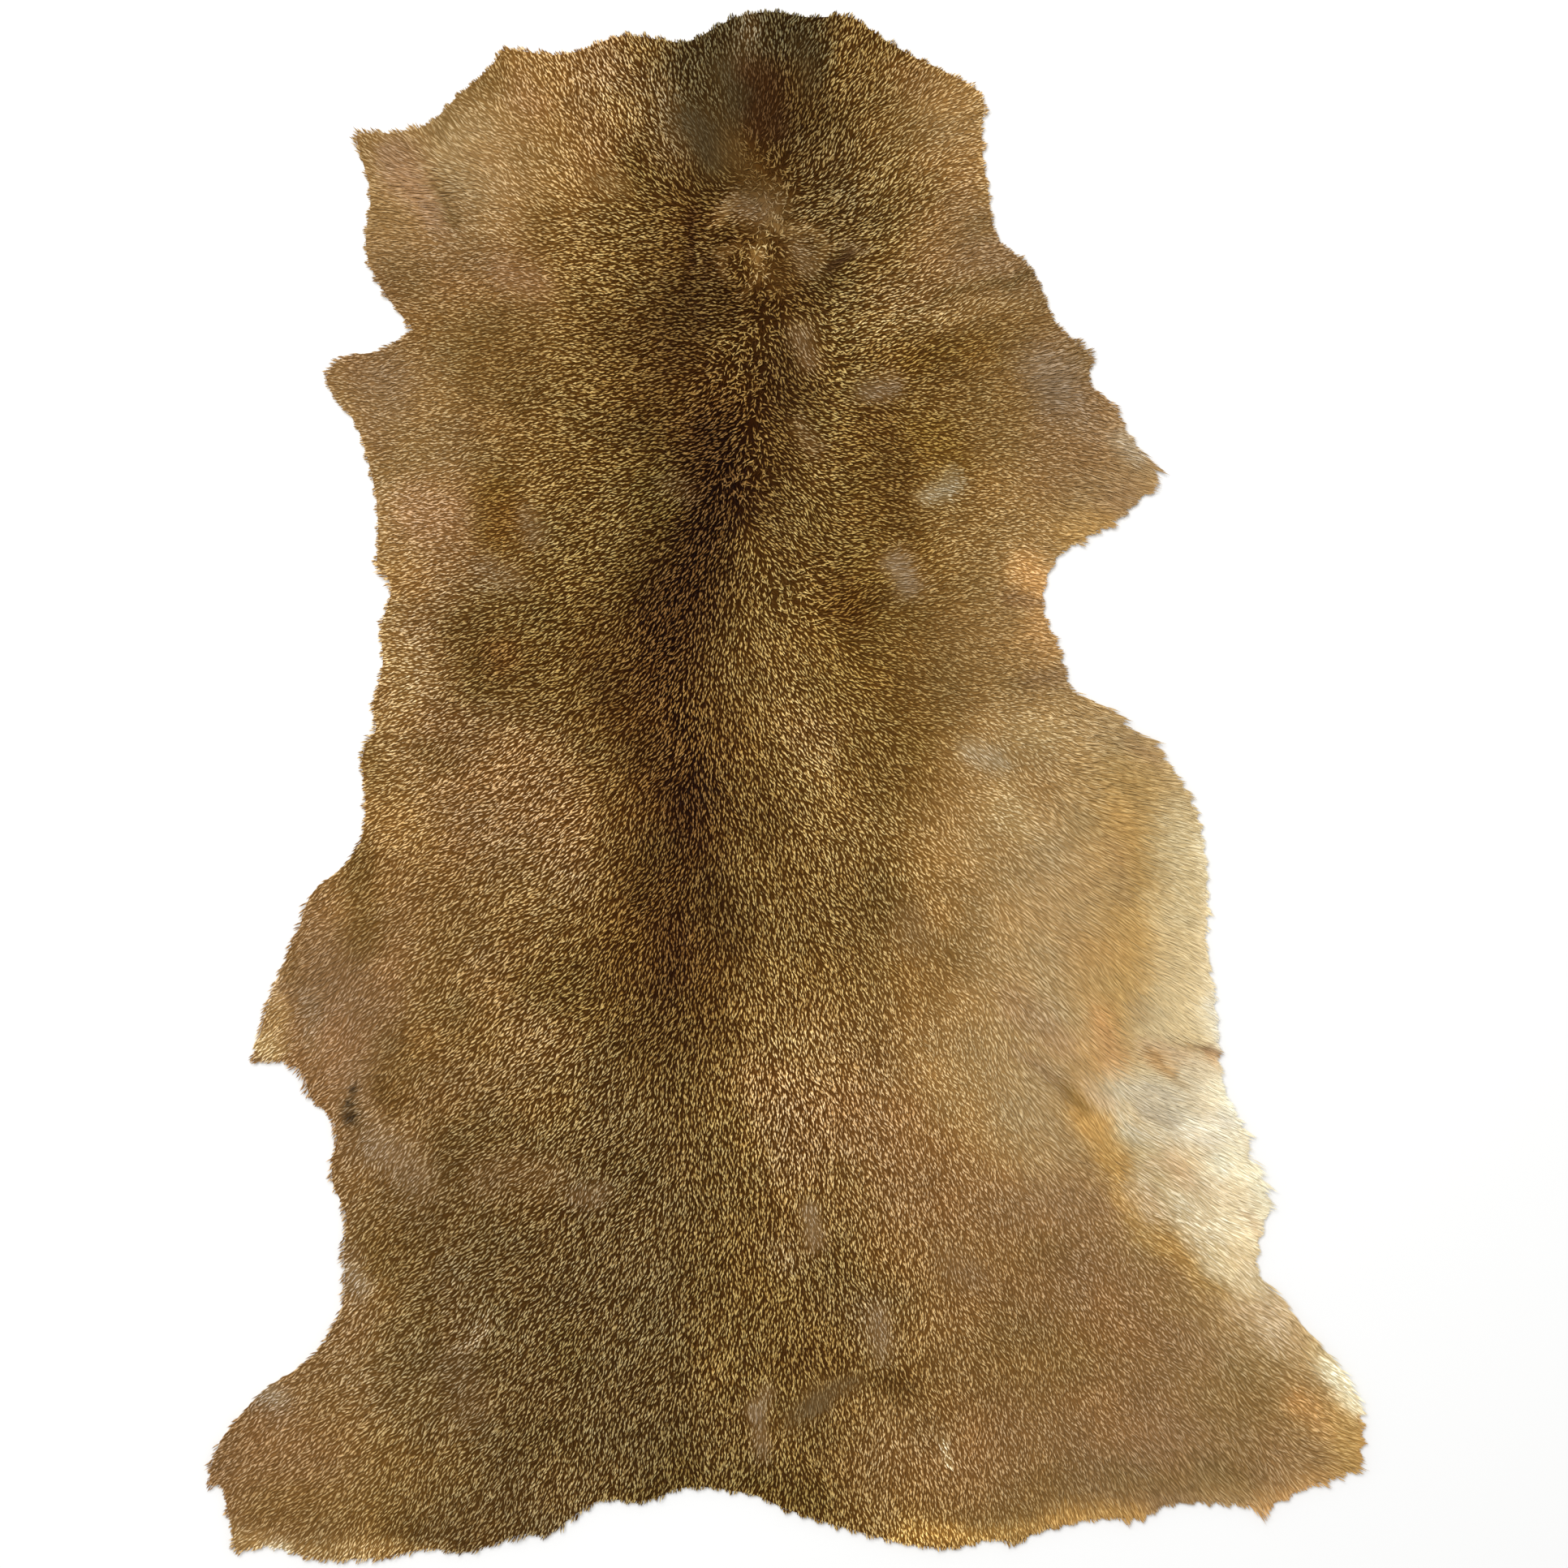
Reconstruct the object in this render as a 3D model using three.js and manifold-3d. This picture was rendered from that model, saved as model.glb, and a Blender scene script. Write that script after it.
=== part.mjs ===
import * as THREE from 'three';
import Module from 'manifold-3d';
import { mergeVertices } from 'three/addons/utils/BufferGeometryUtils.js';

// A tanned deer hide with its hair on, spread flat. Millimetres, +Z up, neck end to +Y, spine along Y.

// Thicknesses, from the floor up
const SKIN = 1.8;
const RIM_COAT = 0.9;
const BACK_COAT = 5.6;
const THINNEST = 1.6;

// Hair locks round the rim
const LOCK_PITCH = 13;
const LOCK_REACH = 3.6;
const LOCK_SPREAD = 2.2;
const LOCK_LEAN = 3.4;
const ROOT_INSET = 1.1;
const SHORT_RUN = 9;

// Surface grid of the coat, and how far in from the rim the coat reaches its full depth
const GRID = 20;
const MARGIN = 25;
const RIM_BAND = 42;

// Slow rise and fall of the lying coat
const LUMP_HEIGHT = 0.55;
const LUMP_SPAN = 74;

const SHARP = 'sharp';
const SOFT = 'soft';

// Rows of one stretch of the rim: reach across from the spine line, along from the middle, and the turn there
function stretch(rows) {
  return rows.map(([across, along, turn = SOFT]) => ({ across, along, turn }));
}

// The rim, clockwise seen from above, from the left corner of the neck
const RIM = {
  neckCut: stretch([
    [-318, 482, SHARP],
    [-268, 487],
    [-239, 513],
    [-212, 538],
    [-208, 545, SHARP],
    [-160, 542],
    [-119, 556],
    [-73, 551],
    [-34, 570],
    [-11, 573],
    [22, 569],
    [50, 570],
    [77, 551],
    [147, 512],
  ]),
  rightNeck: stretch([
    [150, 504, SHARP],
    [148, 481],
    [154, 428],
    [160, 403],
    [184, 383],
    [205, 338],
    [229, 318, SHARP],
    [227, 295, SHARP],
  ]),
  rightForeleg: stretch([
    [245, 279],
    [261, 249],
    [275, 235],
    [275, 220, SHARP],
    [244, 194],
    [202, 167],
    [193, 132],
    [203, 103],
  ]),
  rightFlank: stretch([
    [213, 68, SHARP],
    [241, 56],
    [259, 39],
    [271, 33, SHARP],
    [292, 5],
    [304, -17],
    [311, -41],
    [314, -85],
    [313, -114],
    [320, -170],
    [323, -206],
  ]),
  rightBellyFlap: stretch([
    [326, -224],
    [344, -261, SHARP],
    [343, -271],
    [356, -299],
    [359, -311, SHARP],
    [352, -338],
    [349, -361, SHARP],
  ]),
  rightHaunch: stretch([
    [374, -389],
    [404, -424],
    [424, -457],
    [428, -484],
    [426, -505, SHARP],
    [379, -524],
    [354, -538, SHARP],
  ]),
  rightRump: stretch([
    [341, -533],
    [277, -535],
    [270, -542],
    [229, -544],
    [182, -557],
    [172, -563, SHARP],
    [158, -559],
    [116, -566],
    [65, -556],
    [5, -538],
  ]),
  leftRump: stretch([
    [-25, -526],
    [-76, -521],
    [-104, -532],
    [-136, -530],
    [-167, -551],
    [-179, -557, SHARP],
    [-187, -554],
    [-241, -569],
    [-260, -566],
    [-303, -573],
    [-352, -572],
    [-382, -564],
  ]),
  leftHaunch: stretch([
    [-406, -568, SHARP],
    [-412, -539],
    [-415, -517, SHARP],
    [-427, -520, SHARP],
    [-420, -491],
    [-389, -452],
    [-344, -419],
    [-325, -382, SHARP],
  ]),
  leftBellyFlap: stretch([
    [-326, -341],
    [-323, -317, SHARP],
    [-335, -294],
    [-330, -253, SHARP],
    [-340, -241, SHARP],
    [-352, -232],
    [-355, -214],
    [-367, -206],
    [-395, -206, SHARP],
    [-389, -187],
  ]),
  leftFlank: stretch([
    [-377, -149],
    [-361, -110],
    [-350, -82],
    [-319, -53],
    [-311, -31],
    [-311, -5],
    [-314, 15],
    [-310, 31],
    [-300, 40, SHARP],
    [-305, 54],
    [-297, 91],
    [-300, 115],
    [-292, 137],
    [-291, 154, SHARP],
  ]),
  leftForeleg: stretch([
    [-302, 160, SHARP],
    [-303, 216],
    [-319, 268],
    [-336, 290],
    [-340, 302, SHARP],
    [-328, 316],
    [-301, 320],
    [-272, 337, SHARP],
  ]),
  leftNeck: stretch([
    [-286, 349],
    [-307, 383],
    [-311, 400],
    [-307, 433],
    [-312, 460],
  ]),
};

// Creases and wrinkles of the lying hide: where each begins and ends, its width, and its rise (minus: a dip)
const FOLDS = [
  { at: [188, 376], to: [110, 358], wide: 22, rise: -1.7 },
  { at: [110, 358], to: [20, 322], wide: 26, rise: -1.5 },
  { at: [150, 372], to: [60, 346], wide: 24, rise: 1.1 },
  { at: [140, 352], to: [56, 318], wide: 22, rise: -1.1 },
  { at: [-256, 442], to: [-238, 410], wide: 24, rise: -1.2 },
  { at: [-66, 440], to: [-52, 336], wide: 22, rise: 1.0 },
  { at: [-38, 436], to: [-26, 330], wide: 22, rise: -1.0 },
  { at: [128, 160], to: [194, 122], wide: 26, rise: -1.3 },
  { at: [164, -182], to: [236, -258], wide: 26, rise: -1.6 },
  { at: [236, -258], to: [322, -362], wide: 28, rise: -1.4 },
  { at: [268, -188], to: [320, -202], wide: 22, rise: -1.2 },
  { at: [250, -168], to: [306, -180], wide: 24, rise: 0.9 },
  { at: [-60, 60], to: [-70, -240], wide: 70, rise: 0.7 },
];

// Repeatable scatter, one stream of numbers between 0 and 1
function scatter(seed) {
  let state = seed;
  return () => {
    state = (Math.imul(state, 1664525) + 1013904223) >>> 0;
    return state / 4294967296;
  };
}

// A soft curve through the rim rows between two sharp turns, as closely spaced points
function softRun(rows) {
  if (rows.length === 2) {
    return rows.map((row) => new THREE.Vector2(row.across, row.along));
  }
  const through = rows.map((row) => new THREE.Vector3(row.across, row.along, 0));
  const curve = new THREE.CatmullRomCurve3(through, false, 'centripetal');
  return curve.getSpacedPoints(rows.length * 12).map((p) => new THREE.Vector2(p.x, p.y));
}

// The rim cut at its sharp turns into runs, each a list of points
function rimRuns() {
  const rows = Object.values(RIM).flat();
  const closed = [...rows, rows[0]];
  const runs = [];
  let open = [closed[0]];
  for (const row of closed.slice(1)) {
    open.push(row);
    if (row.turn === SHARP) {
      runs.push(softRun(open));
      open = [row];
    }
  }
  return runs;
}

function runLength(points) {
  return points.slice(1).reduce((sum, p, i) => sum + p.distanceTo(points[i]), 0);
}

// The point at a share of a run's length, with the run's direction there
function pointAlong(points, share) {
  let left = share * runLength(points);
  for (let i = 1; i < points.length; i += 1) {
    const step = points[i].distanceTo(points[i - 1]);
    if (left <= step || i === points.length - 1) {
      const heading = points[i].clone().sub(points[i - 1]).normalize();
      return { point: points[i - 1].clone().addScaledVector(heading, left), heading };
    }
    left -= step;
  }
  return null;
}

// Which way the coat lies: away from the spine and toward the rump, up and outward at the very neck
function lie(across, along) {
  const neck = THREE.MathUtils.smoothstep(along, 440, 520);
  const side = across / 300;
  return new THREE.Vector2(side * 1.2, THREE.MathUtils.lerp(-0.7, 1.0, neck)).normalize();
}

// The rim with its locks: a root point and a tip point for each, the tips leaning the way the coat lies
function rimWithLocks() {
  const chance = scatter(20641);
  const outline = [];
  for (const run of rimRuns()) {
    const length = runLength(run);
    const locks = length < SHORT_RUN ? 0 : Math.max(1, Math.round(length / LOCK_PITCH));
    outline.push(run[0].clone());
    for (let i = 0; i < locks; i += 1) {
      const start = (i + 0.12 * (chance() - 0.5)) / locks;
      if (i > 0) {
        const root = pointAlong(run, start);
        const inward = new THREE.Vector2(root.heading.y, -root.heading.x);
        outline.push(root.point.addScaledVector(inward, ROOT_INSET * (0.5 + chance())));
      }
      const tip = pointAlong(run, (i + 0.35 + 0.3 * chance()) / locks);
      const outward = new THREE.Vector2(-tip.heading.y, tip.heading.x);
      const hair = lie(tip.point.x, tip.point.y);
      const reach = Math.min(LOCK_REACH + LOCK_SPREAD * (chance() - 0.5), length / locks / 3);
      const lean = THREE.MathUtils.clamp(hair.dot(tip.heading) * LOCK_LEAN, -LOCK_LEAN, LOCK_LEAN);
      tip.point.addScaledVector(outward, reach - ROOT_INSET);
      tip.point.addScaledVector(tip.heading, lean * Math.min(1, length / locks / LOCK_PITCH));
      outline.push(tip.point);
    }
  }
  return outline;
}

// The outline moved so that its bounding box is centred on the origin
function centred(outline) {
  const box = new THREE.Box2().setFromPoints(outline);
  const middle = box.getCenter(new THREE.Vector2());
  return { outline: outline.map((p) => p.clone().sub(middle)), middle };
}

function distanceToLine(x, y, a, b) {
  const along = b.clone().sub(a);
  const share = THREE.MathUtils.clamp(new THREE.Vector2(x, y).sub(a).dot(along) / along.lengthSq(), 0, 1);
  return { away: Math.hypot(x - a.x - along.x * share, y - a.y - along.y * share), share };
}

function distanceToRim(x, y, outline) {
  let least = Infinity;
  for (let i = 0; i < outline.length; i += 1) {
    const { away } = distanceToLine(x, y, outline[i], outline[(i + 1) % outline.length]);
    least = Math.min(least, away);
  }
  return least;
}

// Slow lumps of the coat, between -1 and 1
function lump(x, y) {
  const a = (2 * Math.PI * x) / LUMP_SPAN;
  const b = (2 * Math.PI * y) / LUMP_SPAN;
  return (Math.sin(a + 1.3 * Math.sin(b * 0.7)) + Math.sin(b * 0.9 + 1.1 * Math.sin(a * 0.6 + 2)) ) / 2;
}

// Rise or dip at a place from every crease and wrinkle, fading to nothing at their ends
function foldRise(x, y) {
  let rise = 0;
  for (const fold of FOLDS) {
    const a = new THREE.Vector2(...fold.at);
    const b = new THREE.Vector2(...fold.to);
    const { away, share } = distanceToLine(x, y, a, b);
    const fade = Math.sin(Math.PI * THREE.MathUtils.clamp(0.15 + 0.7 * share, 0, 1));
    const aside = (2 * away) / fold.wide;
    rise += fold.rise * fade * Math.exp(-aside * aside);
  }
  return rise;
}

// Height of the coat's surface above the floor
function coatHeight(x, y, outline, middle) {
  const inward = Math.min(1, distanceToRim(x, y, outline) / RIM_BAND);
  const swell = Math.sin((inward * Math.PI) / 2);
  const coat = THREE.MathUtils.lerp(RIM_COAT, BACK_COAT, swell);
  const uneven = LUMP_HEIGHT * lump(x, y) + foldRise(x + middle.x, y + middle.y);
  return Math.max(THINNEST, SKIN + coat + uneven * swell);
}

function solidFrom(wasm, geometry) {
  const bare = geometry.clone();
  bare.deleteAttribute('normal');
  bare.deleteAttribute('uv');
  const merged = mergeVertices(bare, 1e-4);
  return new wasm.Manifold(new wasm.Mesh({
    numProp: 3,
    vertProperties: new Float32Array(merged.attributes.position.array),
    triVerts: new Uint32Array(merged.index.array),
  }));
}

// A block over the whole hide with a gridded top, its height marked only as above the floor
function griddedBlock(size) {
  const wide = size.x + 2 * MARGIN;
  const long = size.y + 2 * MARGIN;
  const across = Math.round(wide / GRID);
  const along = Math.round(long / GRID);
  return new THREE.BoxGeometry(wide, long, BACK_COAT, across, along, 1).translate(0, 0, BACK_COAT / 2);
}

function outlinePrism(outline) {
  const shape = new THREE.Shape(outline);
  const deep = BACK_COAT + 2 * SKIN;
  return new THREE.ExtrudeGeometry(shape, { depth: deep, bevelEnabled: false }).translate(0, 0, -SKIN);
}

// The hide: the gridded block cut to the outline, its upper points then set to the coat's height
function hideGeometry(wasm) {
  const { outline, middle } = centred(rimWithLocks());
  const size = new THREE.Box2().setFromPoints(outline).getSize(new THREE.Vector2());
  const block = solidFrom(wasm, griddedBlock(size));
  const prism = solidFrom(wasm, outlinePrism(outline));
  const cut = block.intersect(prism).getMesh();
  const geometry = new THREE.BufferGeometry();
  const points = [];
  for (let i = 0; i < cut.vertProperties.length; i += cut.numProp) {
    const [x, y, z] = cut.vertProperties.slice(i, i + 3);
    points.push(x, y, z < BACK_COAT / 2 ? 0 : coatHeight(x, y, outline, middle));
  }
  geometry.setAttribute('position', new THREE.Float32BufferAttribute(points, 3));
  geometry.setIndex([...cut.triVerts]);
  geometry.computeVertexNormals();
  return geometry;
}

const wasm = await Module();
wasm.setup();

const hide = new THREE.Mesh(
  hideGeometry(wasm),
  new THREE.MeshStandardMaterial({ name: 'hair_coat', color: 0x8c6f4a, roughness: 0.9 }),
);
hide.name = 'hide';

const group = new THREE.Group();
group.name = 'deerhide_rug';
group.add(hide);

export default group;
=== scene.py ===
import math

import bpy
import numpy as np
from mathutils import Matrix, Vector
from mathutils.bvhtree import BVHTree
from mathutils.geometry import delaunay_2d_cdt


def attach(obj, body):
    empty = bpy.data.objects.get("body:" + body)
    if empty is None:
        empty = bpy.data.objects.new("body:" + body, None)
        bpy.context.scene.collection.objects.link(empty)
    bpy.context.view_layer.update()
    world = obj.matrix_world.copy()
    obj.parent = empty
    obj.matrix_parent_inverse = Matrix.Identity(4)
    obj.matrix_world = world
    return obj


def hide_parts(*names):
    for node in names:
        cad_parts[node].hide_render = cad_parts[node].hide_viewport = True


# A tanned deer hide with its hair on, laid flat and seen from straight above. Metres, neck end to +Y.
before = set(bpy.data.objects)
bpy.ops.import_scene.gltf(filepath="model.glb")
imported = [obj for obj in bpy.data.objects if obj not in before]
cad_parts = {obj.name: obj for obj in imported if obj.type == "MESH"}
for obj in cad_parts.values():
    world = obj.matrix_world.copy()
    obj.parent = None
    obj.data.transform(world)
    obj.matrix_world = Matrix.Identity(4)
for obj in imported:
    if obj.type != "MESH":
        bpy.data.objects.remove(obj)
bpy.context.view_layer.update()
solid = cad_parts["hide"]

# The view is a square of 1932 steps; places on the hide are given in steps across and down it
VIEW_STEPS = 1932
STEP = 0.0006
MIDDLE = (968, 968)

# The skin with its wool, metres: its least thickness inside and the share of that at its edge, how far the edge
# is drawn in from the rim, more where hair hangs over it, and the spacing of its mesh
LEAST_SKIN = 0.0016
EDGE_THINNER = 0.75
CUT_BACK, CUT_BACK_UNDER_HAIR = 0.0006, 0.0018
PELT_PITCH = 0.0060
PELT_ROW, PELT_EDGE_GAP = 0.866 * PELT_PITCH, 0.55 * PELT_PITCH

# The coat on it, metres: its depth inside and how far in that is reached, the gaps between the roots of light
# and of dark locks, and how far tips may pass the rim
COAT_DEPTH = 0.0040
EDGE_SOFT = 0.03
OVER_GAP, UNDER_GAP = 0.00194, 0.00168
OVERHANG = 0.0006

# Creases: how far in from the rim they have their full rise, metres, the share of it at their ends, and how
# narrow they are
CREASE_FADE = 0.012
CREASE_END = 0.25
CREASE_NARROW = 1.6

# How far round a place the solid's top is averaged, a height well above it, and half the floor, metres
TOP_SMOOTHING = 0.007
WELL_ABOVE = 0.1
FLOOR_HALF = 4

# A lock of hair on the speckled back, and one on the sleek flank: metres and radians
BACK_LENGTH, SLEEK_LENGTH = 0.0068, 0.0160
BACK_WIDTH, SLEEK_WIDTH = 0.00112, 0.0009
BACK_RIDGE, SLEEK_RIDGE = 1.0, 0.15
BACK_LIFT, SLEEK_LIFT = 0.30, 0.15
BACK_STRAY, SLEEK_STRAY = 0.27, 0.07
BACK_SWIRL, SLEEK_SWIRL = 0.9, 0.12

# How unlike the locks are, as shares of their length, width, lift and overhang, and how far they roll
LENGTH_SPREAD, WIDTH_SPREAD, LIFT_SPREAD = (0.75, 1.25), (0.7, 1.3), (0.6, 1.4)
TIP_SPREAD = (-1.2, 0.4)
MOST_ROLL = 0.6

# The shortest lock that is kept, where along it a lock is widest and how its sides hang, its most width for
# its length, how much thinner it is in a fuzzy spot, how far a pale one is raised, and the most roots to a
# square metre
SHORTEST_LOCK = 0.0022
LOCK_WIDEST, LOCK_EAVES = 0.56, -0.3
WIDEST_FOR_LENGTH = 0.3
FUZZY_THINNER = 0.35
PALE_LOCK_RAISED = 0.0006
MOST_ROOTS = 1500000.0

# How fine the small and the broad swirls of the coat are, the turn of the broad ones, and that of unsettled
# hair
FINE_SWIRL, BROAD_SWIRL = 95.0, 24.0
BROAD_SWIRL_TURN = 0.5
UNSETTLED_SWIRL = 2.6

# The hair is made in strips, and each lock has a small square of its strip's map, filled in rows along the hide
STRIPS = ["hair_left_flank", "hair_left_back", "hair_spine", "hair_right_back", "hair_right_flank"]
FIRST_SEED, UNDER_SEED = 5, 50
MAP_ROW, ROW_BEFORE_PLACE = 0.008, 10.0
ATLAS_ACROSS, ATLAS_UP = 512, 112
MAP_MARGIN = 0.04

# Change of red, green and blue that keeps the average tone: where pale and dark hairs mix, and where each
# hair is one tone
EVEN_OUT = np.array([0.02, -0.02, -0.30])
SLEEK_CHANGE = np.array([-0.11, -0.035, 0.13])

# Speckle under which the coat is sleek and each hair one tone: fully, and where that begins
SLEEK_FULLY, SLEEK_FROM = 0.10, 0.30
ONE_TONE_FULLY, ONE_TONE_FROM = 0.18, 0.52
FUZZ_SPECKLE = 0.12
STRIPE_SPECKLE = 0.3

# How steady the lie is where the hair begins to stand unsettled, and where it is so fully
UNSETTLED_FROM, UNSETTLED_FULLY = 0.85, 0.30

# How fast a place given a lie loses its say, in steps, and the power by which it does
LIE_REACH, LIE_POWER = 18.0, -1.9

# How the border of a marking fades, and how far it strays in steps, broadly and finely, each over its size;
# and the same for the line of the spine
MARK_FADE, MARK_FADE_POWER = 0.9, 2.4
FRAY = ((8, 40), (3, 12))
SPINE_STRAY, SPINE_STRAY_SIZE = 10, 90

# Unevenness of the coat's tone: strength and size in steps, then the same for warm against cool
MOTTLE, FINE_MOTTLE, WARM_MOTTLE = (0.04, 44), (0.012, 18), (0.015, 40)
WARM = np.array([1, 0, -1.5])
SCAR_DARK = 0.6

# Streaks along the lie: half-length and size in steps, samples and gain, and how strong they are on the back
# and on the sleek flank
STREAK_HALF, STREAK_SIZE, STREAK_SAMPLES, STREAK_GAIN = 40, 9, 17, 2.6
BACK_STREAK, SLEEK_STREAK = 0.018, 0.063


def spot(across, down):
    """A place in the view as metres across and along the hide."""
    return (across - MIDDLE[0]) * STEP, (MIDDLE[1] - down) * STEP


# Camera straight above, with the view's full width on the floor
camera = bpy.data.objects.new("camera", bpy.data.cameras.new("camera"))
camera.data.lens = 85
camera.data.sensor_width = 36
half_view = VIEW_STEPS * STEP / 2
camera_height = half_view / (camera.data.sensor_width / 2 / camera.data.lens)
camera.location = (*spot(VIEW_STEPS / 2, VIEW_STEPS / 2), camera_height + COAT_DEPTH)
bpy.context.scene.collection.objects.link(camera)
bpy.context.scene.camera = camera

# Colours of the coat as seen, red green blue from 0 to 255
TONES = {
    "umber": (66, 40, 17),
    "sepia": (82, 57, 25),
    "bister": (100, 72, 34),
    "back": (116, 88, 46),
    "agouti": (132, 102, 58),
    "rump": (110, 86, 52),
    "moss": (94, 72, 34),
    "fawn": (146, 112, 74),
    "tan": (160, 126, 78),
    "sand": (172, 140, 92),
    "rosy": (168, 130, 92),
    "straw": (206, 181, 130),
    "wheat": (217, 194, 150),
    "butter": (236, 217, 173),
    "cream": (240, 228, 190),
    "ivory": (222, 208, 176),
    "pearl": (199, 181, 144),
    "blush": (200, 169, 124),
    "honey": (180, 141, 80),
    "ochre": (190, 145, 78),
    "orange": (200, 150, 90),
    "russet": (118, 76, 34),
    "mauve": (140, 114, 86),
    "dove": (150, 124, 92),
    "rust": (92, 58, 18),
    "slate": (78, 63, 38),
    "silver": (190, 174, 146),
    "grey": (182, 165, 134),
    "golden": (120, 88, 36),
}

# The spine line down the view
SPINE = [(20, 934), (170, 932), (300, 922), (450, 905), (560, 892), (650, 878), (715, 848), (780, 826),
         (850, 834), (950, 850), (1080, 852), (1200, 828), (1300, 832), (1450, 850), (1650, 870), (1900, 880)]

# How dark the stripe on the spine is, down the view
STRIPE = [(0, 0.0), (350, 0.1), (480, 0.5), (560, 0.9), (860, 0.9), (960, 0.7), (1060, 0.5),
          (1100, 0.35), (1210, 0.3), (1290, 0.1), (1900, 0.0)]
STRIPE_HALF = 48

# How strongly pale and dark hairs mix, from left of the spine to right of it
SPECKLE = [(-560, 0.35), (-420, 0.45), (-300, 0.62), (-150, 0.9), (0, 0.95), (150, 0.9), (230, 0.75),
           (300, 0.5), (420, 0.16), (560, 0.04)]

# Tone of the coat on the parts of the body, down the view: to the left and to the right of the spine
BODY = [
    ("neck", 110,
     [(0, "slate"), (60, "slate"), (110, "rump"), (180, "fawn"), (300, "tan"), (500, "tan")],
     [(0, "slate"), (60, "slate"), (110, "bister"), (180, "agouti"), (240, "tan"), (300, "sand")]),
    ("crest", 260,
     [(0, "bister"), (50, "sepia"), (90, "bister"), (170, "agouti"), (300, "fawn"), (420, "tan")],
     [(0, "bister"), (70, "bister"), (120, "rump"), (180, "agouti"), (260, "fawn"), (380, "fawn")]),
    ("withers", 420,
     [(0, "bister"), (90, "sepia"), (150, "back"), (230, "agouti"), (330, "agouti"), (460, "fawn")],
     [(0, "bister"), (60, "sepia"), (110, "back"), (200, "agouti"), (330, "agouti"), (420, "fawn")]),
    ("shoulder", 620,
     [(0, "sepia"), (60, "moss"), (120, "back"), (220, "agouti"), (320, "fawn"), (380, "tan")],
     [(0, "sepia"), (50, "sepia"), (110, "back"), (200, "golden"), (280, "agouti"), (380, "tan")]),
    ("saddle", 840,
     [(0, "sepia"), (70, "sepia"), (130, "back"), (240, "back"), (300, "fawn"), (360, "tan")],
     [(0, "sepia"), (60, "back"), (150, "agouti"), (260, "golden"), (330, "agouti"), (440, "tan"),
      (520, "sand")]),
    ("back", 1020,
     [(0, "sepia"), (50, "sepia"), (100, "back"), (160, "fawn"), (280, "fawn"), (400, "tan")],
     [(0, "sepia"), (60, "back"), (140, "agouti"), (240, "agouti"), (330, "tan"), (430, "sand"),
      (530, "honey"), (620, "straw")]),
    ("flank", 1200,
     [(0, "sepia"), (60, "bister"), (130, "back"), (220, "agouti"), (340, "fawn"), (460, "fawn")],
     [(0, "sepia"), (50, "bister"), (130, "agouti"), (240, "agouti"), (340, "tan"), (460, "sand"),
      (530, "honey"), (610, "straw"), (660, "butter")]),
    ("loin", 1360,
     [(0, "back"), (80, "rump"), (150, "agouti"), (280, "agouti"), (380, "fawn"), (460, "fawn")],
     [(0, "back"), (70, "agouti"), (130, "fawn"), (240, "fawn"), (350, "tan"), (450, "sand"), (510, "ochre"),
      (570, "straw"), (650, "ivory")]),
    ("rump", 1560,
     [(0, "back"), (60, "rump"), (160, "rump"), (330, "rump"), (400, "agouti"), (460, "fawn")],
     [(0, "back"), (100, "back"), (200, "agouti"), (320, "fawn"), (480, "fawn"), (580, "tan"),
      (660, "straw")]),
    ("haunch", 1760,
     [(0, "back"), (40, "moss"), (180, "rump"), (300, "rump"), (400, "agouti"), (600, "fawn")],
     [(0, "back"), (120, "back"), (220, "agouti"), (400, "agouti"), (560, "fawn"), (700, "tan"),
      (770, "ochre")]),
]

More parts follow.
